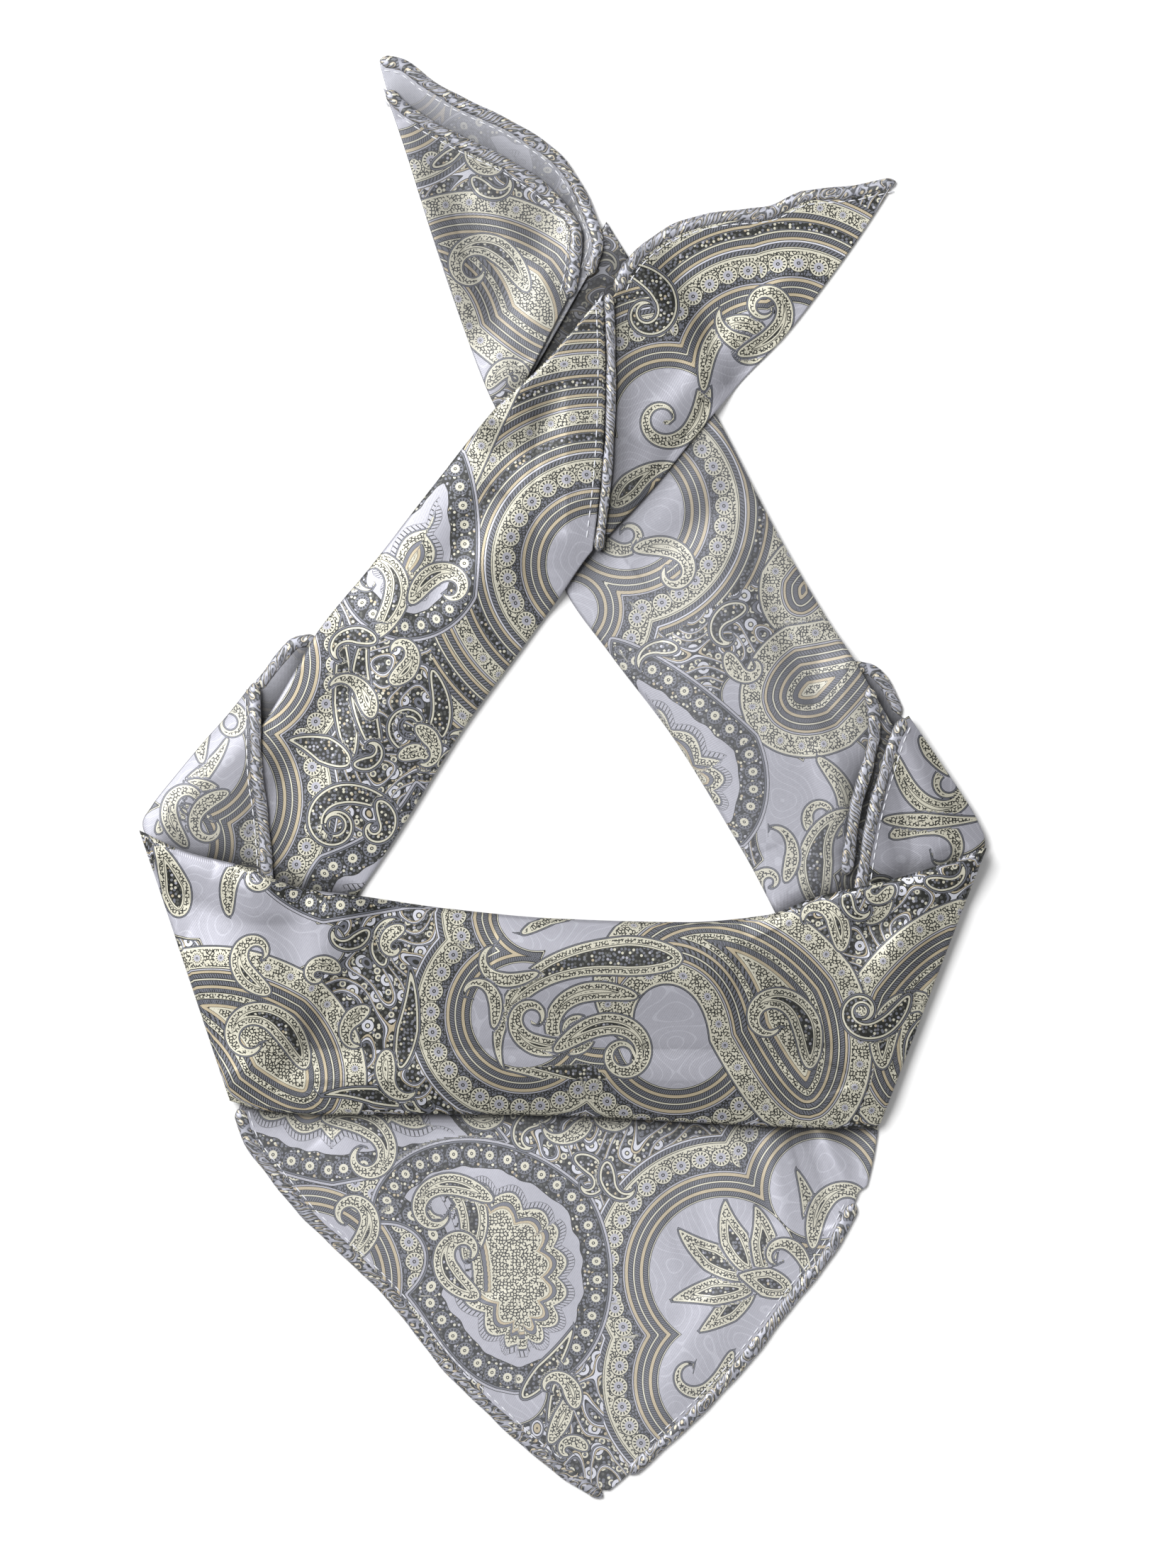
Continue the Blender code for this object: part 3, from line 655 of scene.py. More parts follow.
def add_piece(name, points, faces, prints, material, attributes=None):
    """A mesh from points in millimetres that rides on the scarf, with its places on the print as its UVs."""
    mesh = bpy.data.meshes.new(name)
    mesh.from_pydata(np.asarray(points) * MM, [], faces)
    corner = np.empty(len(mesh.loops), np.int32)
    mesh.loops.foreach_get("vertex_index", corner)
    layer = mesh.uv_layers.new(name="print")
    layer.data.foreach_set("uv", (np.asarray(prints)[corner] * MM).ravel())
    for key, values in (attributes or {}).items():
        kind, field_name = ("FLOAT", "value") if values.ndim == 1 else ("FLOAT_VECTOR", "vector")
        mesh.attributes.new(key, kind, "POINT").data.foreach_set(field_name, values.ravel())
    mesh.shade_smooth()
    mesh.materials.append(material)
    piece = bpy.data.objects.new(name, mesh)
    bpy.context.scene.collection.objects.link(piece)
    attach(piece, "root")
    return piece


def underside(shape, ring, ring_ids, first_id):
    """A coarse underside that meets a fine ring: the places of its own inner points, and its faces."""
    ids = dict(zip(ring, ring_ids))
    inner = []
    for i in range(COARSE, shape[0], COARSE):
        for j in range(COARSE, shape[1], COARSE):
            ids[i, j] = first_id + len(inner)
            inner.append((i, j))
    faces = []
    for i in range(0, shape[0], COARSE):
        for j in range(0, shape[1], COARSE):
            last_i, last_j = i + COARSE, j + COARSE
            walk = [(i, k) for k in range(j, last_j)] + [(k, last_j) for k in range(i, last_i)]
            walk += [(last_i, k) for k in range(last_j, j, -1)] + [(k, j) for k in range(last_i, i, -1)]
            faces.append([ids[spot] for spot in walk if spot in ids])
    return inner, faces


def along(points, rows, values):
    """Values at the start, the middle and the end of a piece, carried smoothly over its points."""
    first, last = ((row[0:2] + row[2:4]) / 2 for row in (rows[0], rows[-1]))
    part = np.clip((points - first) @ (last - first) / np.sum((last - first) ** 2), 0, 1)
    return eased(np.array([0, 0.5, 1]), np.array(values, float)[:, None], part)[:, 0]


def cloth(name, rows, creases, look, folds=0, round_in=LAYER_ROUND, bow=0.0, crown=2.0):
    """A closed shell of cloth that lies on the pile.

    A folded stretch has an underside that lies on the pile, sides that bulge once for each fold by
    (1 - |2h - 1|^2.4)^(1/2.4), and a top at edge + FULLNESS rise (1 - |v|^crown). A single layer has no
    folds, and is SHELL thick. A look gives the way the twill runs, the painted sheen, the tone (painted light
    and shade) at the start, the middle and the end, a seed for the small leaves, and the print's motifs.
    """
    length = measured((rows[:, 0:2] + rows[:, 2:4]) / 2)[-1]
    width = np.linalg.norm(rows[:, 2:4] - rows[:, 0:2], axis=1).max()
    shape = [COARSE * math.ceil(size / STEP / COARSE) for size in (length, width)]
    plan, at_rows = plan_grid(rows, shape, round_in, bow)
    outline, _ = plan_grid(rows, shape, 0.0, bow)
    floor = floor_under(plan)
    if folds:
        across = np.linspace(-1, 1, shape[1] + 1)
        full = FULLNESS * at_rows[:, 5, None] * (1 - np.abs(across) ** crown)
        top = floor + at_rows[:, 4, None] + full + creased(plan, creases)
        under = floor
    else:
        top = floor + np.clip(LAYER_TOP + creased(plan, creases), LAYER_LOW, LAYER_HIGH)
        under = top - SHELL

    count, wide = shape
    ring = [(i, 0) for i in range(count)] + [(count, j) for j in range(wide)]
    ring += [(i, wide) for i in range(count, 0, -1)] + [(0, j) for j in range(wide, 0, -1)]
    at = tuple(np.array(ring).T)
    out = outline[at] - plan[at]
    reach = np.linalg.norm(out, axis=1, keepdims=True)
    levels = 4 * max(1, folds)
    points = [np.dstack([plan, top]).reshape(-1, 3)]
    prints = [plan.reshape(-1, 2)]
    rings = [[i * (wide + 1) + j for i, j in ring]]
    for level in range(1, levels + 1):
        down = level / levels
        swell = (1 - abs(2 * down - 1) ** 2.4) ** (1 / 2.4)
        if folds and level % 4 == 0 and level < levels:
            swell -= FOLD_NOTCH / round_in
        height = top[at] * (1 - down) + under[at] * down
        rings.append([sum(map(len, points)) + k for k in range(len(ring))])
        points.append(np.column_stack([plan[at] + out * swell, height]))
        around = np.minimum(down, 1 - down) * (top[at] - under[at]) + (reach[:, 0] if 0 < down < 1 else 0)
        prints.append(plan[at] + out / np.maximum(reach, 1e-6) * around[:, None])
    inner, under_faces = underside(shape, ring, rings[-1], sum(map(len, points)))
    if inner:
        spots = tuple(np.array(inner).T)
        points.append(np.column_stack([plan[spots], under[spots]]))
        prints.append(plan[spots])
    corner = (np.arange(count)[:, None] * (wide + 1) + np.arange(wide)).ravel()
    faces = np.column_stack([corner, corner + wide + 1, corner + wide + 2, corner + 1]).tolist()
    for high, low in zip(rings, rings[1:]):
        faces += list(zip(high[1:] + high[:1], high, low, low[1:] + low[:1]))
    faces += under_faces
    points, prints = np.vstack(points), np.vstack(prints)

    slant = math.radians(look["twill"])
    fields = print_fields(prints, look)
    fields["twill"] = prints @ (math.cos(slant), math.sin(slant))
    # The painted sheen, and the tone: painted light and shade from the start of the piece to its end.
    fields["haze"] = np.full(len(prints), look["haze"])
    fields["tone"] = along(prints, rows, look["tone"])
    piece = add_piece(name, points, faces, prints, look.get("material", printed_silk), fields)
    if piece.data.polygons[0].normal.z < 0:
        piece.data.flip_normals()
    down_rows, across_rows = plan[1:, :-1] - plan[:-1, :-1], plan[:-1, 1:] - plan[:-1, :-1]
    area = np.abs(down_rows[..., 0] * across_rows[..., 1] - down_rows[..., 1] * across_rows[..., 0]).sum()
    area = min(max(area, 0.3 * width * length), width * length)
    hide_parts(name)
    lay(points[: (count + 1) * (wide + 1)])


def shade(piece):
    """Darkens the tone where cloth nearby stands higher by h millimetres: exp(-h / SHADE_DEPTH)."""
    around = evened(evened(pile, SHADE_REACH), SHADE_REACH)
    points = np.empty(3 * len(piece.data.vertices))
    piece.data.vertices.foreach_get("co", points)
    points = points.reshape(-1, 3) / MM
    higher = np.maximum(around[cell_of(points)] - points[:, 2], 0)
    values = np.empty(len(points))
    piece.data.attributes["tone"].data.foreach_get("value", values)
    piece.data.attributes["tone"].data.foreach_set("value", values * np.exp(-higher / SHADE_DEPTH))


# The rolled hems and their stitches
# Each edge of the square is rolled in and caught with fine thread. The roll shows specks and slanting
# streaks of the same print, and the stitches stand in a row beside it.

HEM_WIDTH = 4.1
HEM_HEIGHT = 1.5
HEM_SIDES = 16
HEM_HALF = 0.43  # half of the roll's width, as a share of the hem's
HEM_TWIST = 2.3  # along the hem, for one turn of its puckers
HEM_PUCKER = 0.012
# A roll's tone, which makes its print lighter, and its painted sheen.
HEM_TONE = 1.3
HEM_PAINTED_SHEEN = 0.12
STITCH_DEPTH = 4.6  # of the stitches from the edge of the cloth
STITCH_LENGTH = 2.2
STITCH_PITCH = 2.9
STITCH_SIDES = 6
# Along a stitch: the part of its length, how far its middle is above the path, and its radius.
STITCH_FORM = (
    (0.0, -0.12, 0.04),
    (0.15, 0.06, 0.17),
    (0.5, 0.12, 0.2),
    (0.85, 0.06, 0.17),
    (1.0, -0.12, 0.04),
)

# The roll: the same satin, with beads of the print and two kinds of streak.
hem_silk = new_material("rolled silk hem")
hem_tree = hem_silk.node_tree
hem_place = print_place(hem_tree)
hem_streak = contours(hem_tree, hem_place, 3.6, 4.0)
hem_colour = beads(hem_tree, hem_place, 1.05)
hem_colour = over(hem_tree, hem_colour, "#8b8c95", between(hem_tree, hem_streak, 0.0, 0.3))
hem_colour = over(hem_tree, hem_colour, TAN, between(hem_tree, hem_streak, 0.5, 0.58))
satin(hem_tree, hem_colour, 0.05)

# Fine pale sewing thread, with a soft gleam.
thread = new_material("sewing thread")
thread_shader = thread.node_tree.nodes["Principled BSDF"]
thread_shader.inputs["Base Color"].default_value = linear("#d6d7dd")
thread_shader.inputs["Roughness"].default_value = 0.55
thread_shader.inputs["Sheen Weight"].default_value = 0.2


def inside_hems(rows, depth=HEM_WIDTH / 2):
    """A single layer's rows with each hemmed edge drawn in to under its hem, up to where the hems meet."""
    edges = []
    taken = 0
    for own, other, hemmed in ((0, 2, 4), (2, 0, 5)):
        edge = rows[:, own : own + 2]
        inset = inward(edge, rows[:, other : other + 2]) * rows[:, hemmed, None] * depth
        edges.append(edge + inset)
        taken = taken + np.linalg.norm(inset, axis=1)
    width = np.linalg.norm(rows[:, 2:4] - rows[:, 0:2], axis=1)
    return np.hstack([*edges, rows[:, 4:]])[taken < 0.8 * width]


def hem_line(table, side, depth=HEM_WIDTH / 2, trim=0):
    """The line at a depth inside one edge of a single layer, less its last trim millimetres."""
    rows = close_rows(table)
    own, other = (0, 2) if side == "a" else (2, 0)
    edge = rows[:, own : own + 2]
    line = edge + inward(edge, rows[:, other : other + 2]) * depth
    return line[: len(line) - trim]


def resting(line):
    """The same line with points PATH_STEP apart, at the height at which a piece laid now lies."""
    path = evenly(line, PATH_STEP)
    return np.column_stack([path, floor_under(path)])


def sewn(line):
    """The same line with points PATH_STEP apart, on top of what lies there now, evened over five points."""
    path = evenly(line, PATH_STEP)
    height = np.convolve(np.pad(pile[cell_of(path)], 2, "edge"), np.full(5, 0.2), "valid")
    return np.column_stack([path, height + 0.05])


def rolled_hem(name, path, width=HEM_WIDTH, height=HEM_HEIGHT):
    """A rolled hem over a resting middle line: a flat oval, hardly puckered, rounded off at both ends.

    Its section is an ellipse, swollen by 1 + HEM_PUCKER sin(a - 2 pi run / HEM_TWIST), and its width wavers
    by two slow sines along the hem. Towards each end both sizes fall as sqrt(run / half the width).
    """
    run = measured(path[:, 0:2])
    tangent = np.gradient(path[:, 0:2], axis=0)
    aside = np.column_stack([-tangent[:, 1], tangent[:, 0]])
    aside /= np.linalg.norm(aside, axis=1, keepdims=True)
    angle = np.arange(HEM_SIDES) * 2 * math.pi / HEM_SIDES
    pucker = 1 + HEM_PUCKER * np.sin(angle[None, :] - 2 * math.pi * run[:, None] / HEM_TWIST)
    wobble = 1 + 0.06 * np.sin(run / 3.7) + 0.04 * np.sin(run / 1.9 + 1)
    ends = np.sqrt(np.clip(np.minimum(run, run[-1] - run) / (width / 2), 0.02, 1))
    x = np.cos(angle)[None, :] * pucker * (HEM_HALF * width * wobble * ends)[:, None]
    z = np.sin(angle)[None, :] * pucker * height / 2 * ends[:, None]
    z = z + path[:, 2:3] + height / 2
    points = np.dstack([path[:, None, 0:2] + aside[:, None, :] * x[..., None], z]).reshape(-1, 3)
    prints = np.dstack([run[:, None] + 1.2 * angle + 0 * x, 1.3 * angle + 0 * x]).reshape(-1, 2)
    faces = []
    for low in range(0, (len(path) - 1) * HEM_SIDES, HEM_SIDES):
        for k in range(HEM_SIDES):
            after = (k + 1) % HEM_SIDES
            faces.append((low + k, low + after, low + HEM_SIDES + after, low + HEM_SIDES + k))
    last = (len(path) - 1) * HEM_SIDES
    faces += [tuple(range(HEM_SIDES - 1, -1, -1)), tuple(range(last, last + HEM_SIDES))]
    everywhere = np.ones(len(prints))
    looks = {"twill": prints.sum(axis=1), "tone": HEM_TONE * everywhere, "haze": HEM_PAINTED_SHEEN * everywhere}
    piece = add_piece(name, points, faces, prints, hem_silk, looks)
    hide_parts(name)
    lay(points)


def stitches(name, path):
    """A row of stitches along a path: each is a short, pointed loop of thread, just proud of the cloth."""
    at = measured(path[:, 0:2])
    angle = np.arange(STITCH_SIDES) * 2 * math.pi / STITCH_SIDES
    shares = np.array([share for share, _, _ in STITCH_FORM])
    points, faces = [], []
    for start in np.arange(STITCH_PITCH / 2, at[-1] - STITCH_PITCH, STITCH_PITCH):
        spots = start + shares * STITCH_LENGTH
        spine = np.column_stack([np.interp(spots, at, path[:, k]) for k in (0, 1, 2)])
        way = spine[-1] - spine[0]
        aside = np.array([-way[1], way[0]]) / np.hypot(way[0], way[1])
        first = len(points) * STITCH_SIDES
        for middle, (_, rise, radius) in zip(spine, STITCH_FORM):
            circle = middle[0:2] + aside * np.cos(angle)[:, None] * radius
            points.append(np.column_stack([circle, middle[2] + rise + np.sin(angle) * radius]))
        for low in range(first, first + 4 * STITCH_SIDES, STITCH_SIDES):
            for k in range(STITCH_SIDES):
                after = (k + 1) % STITCH_SIDES
                faces.append((low + k, low + after, low + STITCH_SIDES + after, low + STITCH_SIDES + k))
    points = np.vstack(points)
    add_piece(name, points, faces, points[:, 0:2], thread)


# The tail
# One corner of the square, face up under the band: one layer between two rolled hems that meet at its point.

TAIL_POINT = (
    (-92.0, -86.5, 82.0, -86.5, 1, 0),
    (-95.5, -96.0, 91.0, -98.5, 1, 0),
    (-92.5, -105.0, 90.0, -107.0, 1, 0),
    (-84.2, -116.5, 87.7, -117.5, 1, 0),
    (-82.0, -119.2, 87.0, -120.0, 1, 1),
    (-79.0, -122.8, 85.9, -123.5, 1, 1),
    (-75.0, -127.5, 84.0, -127.5, 1, 1),
    (-64.3, -137.5, 78.5, -137.5, 1, 1),
    (-49.7, -152.0, 67.0, -152.0, 1, 1),
    (-36.0, -169.5, 53.5, -169.5, 1, 1),
    (-20.5, -185.0, 39.0, -185.0, 1, 1),
    (-2.0, -201.0, 21.5, -201.0, 1, 1),
    (5.0, -205.5, 16.5, -205.5, 1, 1),
    (10.2, -209.0, 11.8, -209.0, 1, 1),
)
TAIL_CREASES = (
    (72.0, -98.0, 84.0, -122.0, 2.6, 0.6),
    (66.0, -98.0, 76.0, -130.0, 3.0, -0.5),
    (58.0, -98.0, 66.0, -136.0, 3.6, 0.5),
    (-70.0, -104.0, -40.0, -140.0, 6.0, 0.35),
    (-46.0, -100.0, -20.0, -150.0, 7.0, -0.3),
    (-20.0, -110.0, 10.0, -190.0, 8.0, 0.3),
    (30.0, -104.0, 40.0, -150.0, 7.0, -0.35),
    (60.0, -128.0, 20.0, -190.0, 6.0, 0.3),
)
TAIL_LOOK = {
    "twill": 25,
    "haze": 0.12,
    "tone": (1.24, 1.26, 1.2),
    "seed": 3,
    "grounds": (
        (74, -118.5, 14.3),
        (46.6, -142.6, 21.6),
        (44.2, -173.8, 16.6),
        (-74, -145, 20),
        (-14, -177, 9, 0.9),
    ),
    "laces": ((-108, -90, 100, 46, -4, -30, 0.45), (-14, -178, 88, 60, 86, 150, 0.5)),
    "scrolls": (
        (55, -147, 20, 7.0, 222, -10, 0.5),
        (55, -147, 24, 7.5, 184, 15, 0.5),
        (54, -144, 25, 8.0, 154, -25, 0.5),
        (55, -143, 23, 8.0, 122, -35, 0.5),
        (58, -144, 21, 7.5, 88, 30, 0.5),
        (66, -148, 16, 8.0, 160, 10, 0.5),
        (73.6, -134, 22, 5.0, 102, 15, 0.4),
        (72.0, -136, 40, 5.5, 88, -330, 0.35),
        (71.0, -143, 22, 3.6, 110, 240, 0.4),
        (49.0, -165, 32, 4.0, 250, -270, 0.35),
        (-28, -140, 46, 8.0, 74, 330, 0.35),
        (-20, -122, 40, 6.0, 150, 300, 0.35),
        (-24, -150, 34, 7.0, 150, -300, 0.35),
        (-70, -98, 44, 7.0, 0, -340, 0.35),
        (-64, -140, 34, 6.0, 40, 300, 0.35),
        (-12, -179, 26, 6.0, 48, 20, 0.4, 1),
        (0, -197, 28, 6.0, 100, -30, 0.4, 1),
        (-4, -192, 22, 5.0, 62, 30, 0.4),
    ),
}

left_path = resting(hem_line(TAIL_POINT[1:], "a"))
right_path = resting(hem_line(TAIL_POINT[5:], "b", trim=7))
cloth("tail_point", inside_hems(close_rows(TAIL_POINT)), TAIL_CREASES, TAIL_LOOK)
stitches("tail_stitches_left", sewn(hem_line(TAIL_POINT[1:], "a", STITCH_DEPTH, 8)))
stitches("tail_stitches_right", sewn(hem_line(TAIL_POINT[5:], "b", STITCH_DEPTH, 12)))
rolled_hem("tail_hem_left", left_path)
rolled_hem("tail_hem_right", right_path)

# The layers behind the wings
# Under each wing the cloth shows its wrong side in a pocket, with a hem round the pocket's mouth.

LEFT_WING_BACK = (
    (-71.0, 42.0, -66.0, 33.5, 1, 0),
    (-77.5, 41.0, -70.0, 31.5, 1, 0),
    (-82.5, 36.5, -73.5, 28.0, 1, 0),
    (-86.0, 32.0, -77.0, 23.5, 1, 0),
    (-90.0, 26.8, -80.5, 18.5, 1, 0),
    (-91.5, 24.5, -82.0, 16.0, 0, 0),
    (-96.5, 18.5, -86.0, 10.5, 0, 0),
    (-104.0, 10.0, -93.0, 2.0, 0, 0),
    (-111.5, 1.0, -101.0, -7.0, 0, 0),
    (-118.5, -8.0, -108.5, -15.5, 0, 0),
    (-120.5, -12.5, -112.0, -20.5, 0, 0),
)
RIGHT_WING_BACK = (
    (82.5, 34.2, 80.5, 26.0, 1, 0),
    (89.0, 33.2, 83.0, 25.0, 1, 0),
    (93.2, 30.0, 85.0, 22.0, 1, 0),
    (96.5, 24.5, 87.0, 17.5, 1, 0),
    (99.0, 19.0, 88.5, 12.5, 1, 0),
    (100.5, 16.5, 90.5, 8.5, 0, 0),
    (103.7, 12.0, 94.5, 4.0, 0, 0),
    (109.7, 3.2, 100.5, -4.0, 0, 0),
    (114.7, -4.3, 106.0, -10.5, 0, 0),
    (118.7, -10.8, 109.5, -17.0, 0, 0),
    (121.0, -17.5, 112.5, -23.0, 0, 0),
)
# The wrong side of printed silk: the ink hardly comes through, so the same print is pale and soft.
wrong_side = new_material("wrong side of printed silk")
wrong_colour = over(wrong_side.node_tree, printed_colour(wrong_side.node_tree), "#b0b1b9", 0.62)
satin(wrong_side.node_tree, wrong_colour, 0.05)

BACK_LOOK = {
    "twill": 60,
    "haze": 0.1,
    "tone": (0.96, 0.96, 0.96),
    "seed": 5,
    "grounds": ((-84, 30, 8), (-76, 26, 8), (92, 22, 8)),
    "material": wrong_side,
}

left_path = resting(hem_line(LEFT_WING_BACK[:5], "a"))
right_path = resting(hem_line(RIGHT_WING_BACK[:5], "a"))
cloth("left_wing_back", inside_hems(close_rows(LEFT_WING_BACK)), (), BACK_LOOK)
cloth("right_wing_back", inside_hems(close_rows(RIGHT_WING_BACK)), (), BACK_LOOK)
rolled_hem("left_pocket_hem", left_path)
rolled_hem("right_pocket_hem", right_path)

# The stretch from the right
# Folded cloth that comes out under the band's right end and passes under the other stretch.

RIGHT_STRETCH = (
    (93.0, -94.0, 120.0, -23.0, 1.6, 0.2),
    (76.0, -68.0, 108.0, -6.5, 1.7, 0.3),
    (66.5, -49.5, 98.5, 9.5, 1.8, 0.4),
    (60.5, -37.5, 91.0, 22.0, 2.0, 0.6),
    (54.0, -25.0, 84.0, 34.0, 2.2, 0.8),
    (47.0, -13.0, 75.5, 47.0, 2.4, 1.0),
    (31.5, 12.0, 60.5, 73.0, 2.4, 1.2),
    (13.0, 36.5, 48.0, 97.5, 2.2, 0.8),
    (1.0, 53.5, 43.0, 107.0, 1.8, 0.5),
    (-9.0, 81.5, 32.0, 128.5, 1.5, 0.3),
    (-19.5, 104.0, 12.5, 160.5, 1.2, 0.1),
)
RIM_ROUND = 1.3  # how far a folded stretch's edge rounds in
STRETCH_CROWN = 2.2  # the power of its crown
RIGHT_STRETCH_CREASES = (
    (60.0, -20.0, 30.0, 40.0, 7.0, 0.5),
    (76.0, 10.0, 52.0, 66.0, 6.0, -0.5),
    (84.0, -20.0, 70.0, 20.0, 5.0, 0.4),
    (20.0, 60.0, 50.0, 84.0, 6.0, -0.4),
)
RIGHT_STRETCH_LOOK = {
    "twill": 70,
    "haze": 0.18,
    # Painted light and shade: lighter at the start, darker towards the end where it passes under the other
    # stretch.
    "tone": (1.18, 1.06, 0.74),
    "seed": 11,
    "grounds": (
        (18.1, 76.9, 16.7, 32),
        (1.9, 48.6, 8),
        (52, 24, 6, 0.9),
        (62, -5, 12, 0.9),
        (70, -16, 14, 0.9),
        (66, -34, 13, 0.9),
        (79, 2, 10, 0.9),
        (58, 10, 9, 0.9),
    ),
    "teardrops": ((66, 40, 46, 26, 78, -50, 0.35), (52, 16, 72, 39, 25, 40, 0.33)),
    "laces": ((46, -24, 72, 46, 112, 15, 0.4),),
    "scrolls": (
        (6, 70, 30, 8.0, 40, 60, 0.35),
        (8, 72, 26, 4.0, -50, 300, 0.3),
        (73, 6.3, 54, 5.0, -45, -540, 0.3),
        (26, 84, 40, 5.6, 150, 340, 0.3),
        (20, 66, 34, 5.4, 10, -330, 0.3),
        (74, -38, 36, 10.0, 100, -110, 0.4),
        (64, -30, 20, 4.0, 70, 120, 0.35),
        (58, -38, 20, 4.0, 120, -300, 0.35),
    ),
}

cloth(
    "right_stretch",
    close_rows(RIGHT_STRETCH),
    RIGHT_STRETCH_CREASES,
    RIGHT_STRETCH_LOOK,
    folds=3,
    round_in=RIM_ROUND,
    crown=STRETCH_CROWN,
)

# The upper left point
# The end of that stretch, past the crossing: two layers, the lower one wrong side up where it shows.

RIGHT_END_BACK = (
    (-53.5, 208.5, -52.5, 209.0, 0, 1),
    (-51.5, 201.0, -46.0, 207.7, 0, 1),
    (-49.5, 194.5, -38.0, 202.0, 0, 1),
    (-46.0, 183.5, -29.5, 197.0, 0, 1),
    (-40.5, 165.0, -13.0, 189.0, 0, 1),
    (-34.5, 146.5, 1.5, 178.0, 0, 1),
    (-27.5, 126.5, 9.5, 163.0, 0, 1),
    (-21.5, 111.0, 12.0, 153.5, 0, 1),
    (-17.0, 102.0, 9.0, 144.0, 0, 1),
)
RIGHT_END_FRONT = (
    (-51.8, 198.8, -49.2, 199.6, 0, 1),
    (-50.5, 195.5, -45.0, 195.0, 0, 1),
    (-45.5, 181.0, -30.5, 186.2, 0, 1),
    (-40.0, 163.5, -14.5, 178.3, 0, 1),
    (-33.5, 144.5, -1.0, 168.0, 0, 1),
    (-27.5, 126.5, 5.8, 156.5, 0, 1),
    (-21.5, 111.0, 5.2, 146.0, 0, 1),
    (-17.0, 102.0, 3.5, 138.0, 0, 1),
)
RIGHT_END_FRONT_CREASES = (
    (-46.0, 190.0, -28.0, 130.0, 5.0, 0.4),
    (-38.0, 176.0, -10.0, 120.0, 5.0, -0.4),
    (-24.0, 170.0, 0.0, 132.0, 4.0, 0.35),
)
RIGHT_END_BACK_LOOK = {
    "twill": 40,
    "haze": 0.1,
    "tone": (1.0, 1.0, 1.0),
    "seed": 17,
    "grounds": ((-46, 202, 8), (-20, 190, 8)),
    "laces": ((-6, 166, 40, 26, 120, 90, 0.4),),
    "material": wrong_side,
}
RIGHT_END_FRONT_LOOK = {
    "twill": 65,
    "haze": 0.14,
    "tone": (0.86, 0.86, 0.86),
    "seed": 23,
    "grounds": ((-49, 199, 12), (-32, 130, 9, 0.9), (-24, 119, 9, 0.9), (-34, 142, 7, 0.9)),
    "teardrops": ((4, 112, 96, 46, 112, 190, 0.36),),
    "scrolls": (
        (-22, 112, 24, 5, 60, -400, 0.35),
        (-38, 176, 18, 4, 30, 60, 0.35, 1),
        (-10, 140, 44, 7, 116, 330, 0.35),
    ),
}

back_path = resting(hem_line(RIGHT_END_BACK, "b"))
cloth("right_end_back", inside_hems(close_rows(RIGHT_END_BACK)), (), RIGHT_END_BACK_LOOK)
stitches("right_end_back_stitches", sewn(hem_line(RIGHT_END_BACK, "b", STITCH_DEPTH)))
rolled_hem("right_end_back_hem", back_path)
front_path = resting(hem_line(RIGHT_END_FRONT, "b"))
front_rows = inside_hems(close_rows(RIGHT_END_FRONT))
cloth("right_end_front", front_rows, RIGHT_END_FRONT_CREASES, RIGHT_END_FRONT_LOOK)
stitches("right_end_front_stitches", sewn(hem_line(RIGHT_END_FRONT, "b", STITCH_DEPTH)))
rolled_hem("right_end_front_hem", front_path)

# The upper right point
# The end of the other stretch, one layer past its hem, up to a point with a hem along the top.

LEFT_END = (
    (1.0, 120.0, 0.5, 70.0, 0, 0),
    (9.0, 132.0, 6.0, 68.0, 0, 0),
    (13.5, 141.0, 9.0, 67.0, 1, 0),
    (16.0, 146.5, 17.5, 74.5, 1, 0),
    (23.5, 155.0, 26.0, 83.5, 1, 0),
    (34.0, 161.0, 39.0, 99.5, 1, 0),
    (46.5, 164.0, 52.0, 115.0, 1, 0),
    (58.0, 165.0, 63.5, 127.0, 1, 0),
    (70.0, 170.0, 74.5, 141.0, 1, 0),
    (82.0, 171.0, 86.0, 157.0, 1, 0),
    (95.5, 174.0, 96.0, 172.5, 1, 0),
)
LEFT_END_CREASES = (
    (20.0, 76.0, 60.0, 128.0, 4.0, -0.35),
    (22.0, 96.0, 70.0, 150.0, 5.0, 0.4),
)
LEFT_END_LOOK = {
    "twill": 20,
    "haze": 0.0,
    # Painted shade: darkest at the start, which lies beside the crossing hem.
    "tone": (0.45, 1.0, 1.06),
    "seed": 29,
    "grounds": ((57, 118, 17, 33), (30.2, 103.1, 15, 33), (66, 125, 12, 33), (14, 88, 10, 33)),
    "scrolls": (
        (41, 117, 48, 5.0, 268, -360, 0.3),
        (40.5, 111, 62, 5.0, 88, -620, 0.3),
        (60, 124, 22, 5.0, 175, -110, 0.4),
        (50, 122, 44, 5.6, 20, 400, 0.3),
        (16, 148, 44, 7.0, -20, -400, 0.35, 1),
        (14, 78, 24, 7.0, 50, -60, 0.35),
    ),
}

end_path = resting(hem_line(LEFT_END[2:], "a"))
cloth("left_end", inside_hems(close_rows(LEFT_END)), LEFT_END_CREASES, LEFT_END_LOOK)
stitches("left_end_stitches", sewn(hem_line(LEFT_END[2:], "a", STITCH_DEPTH)))
rolled_hem("left_end_hem", end_path)

# The stretch from the left
# Folded cloth that comes out under the band's left end and crosses over the other stretch, up to the hem of
# its top layer.

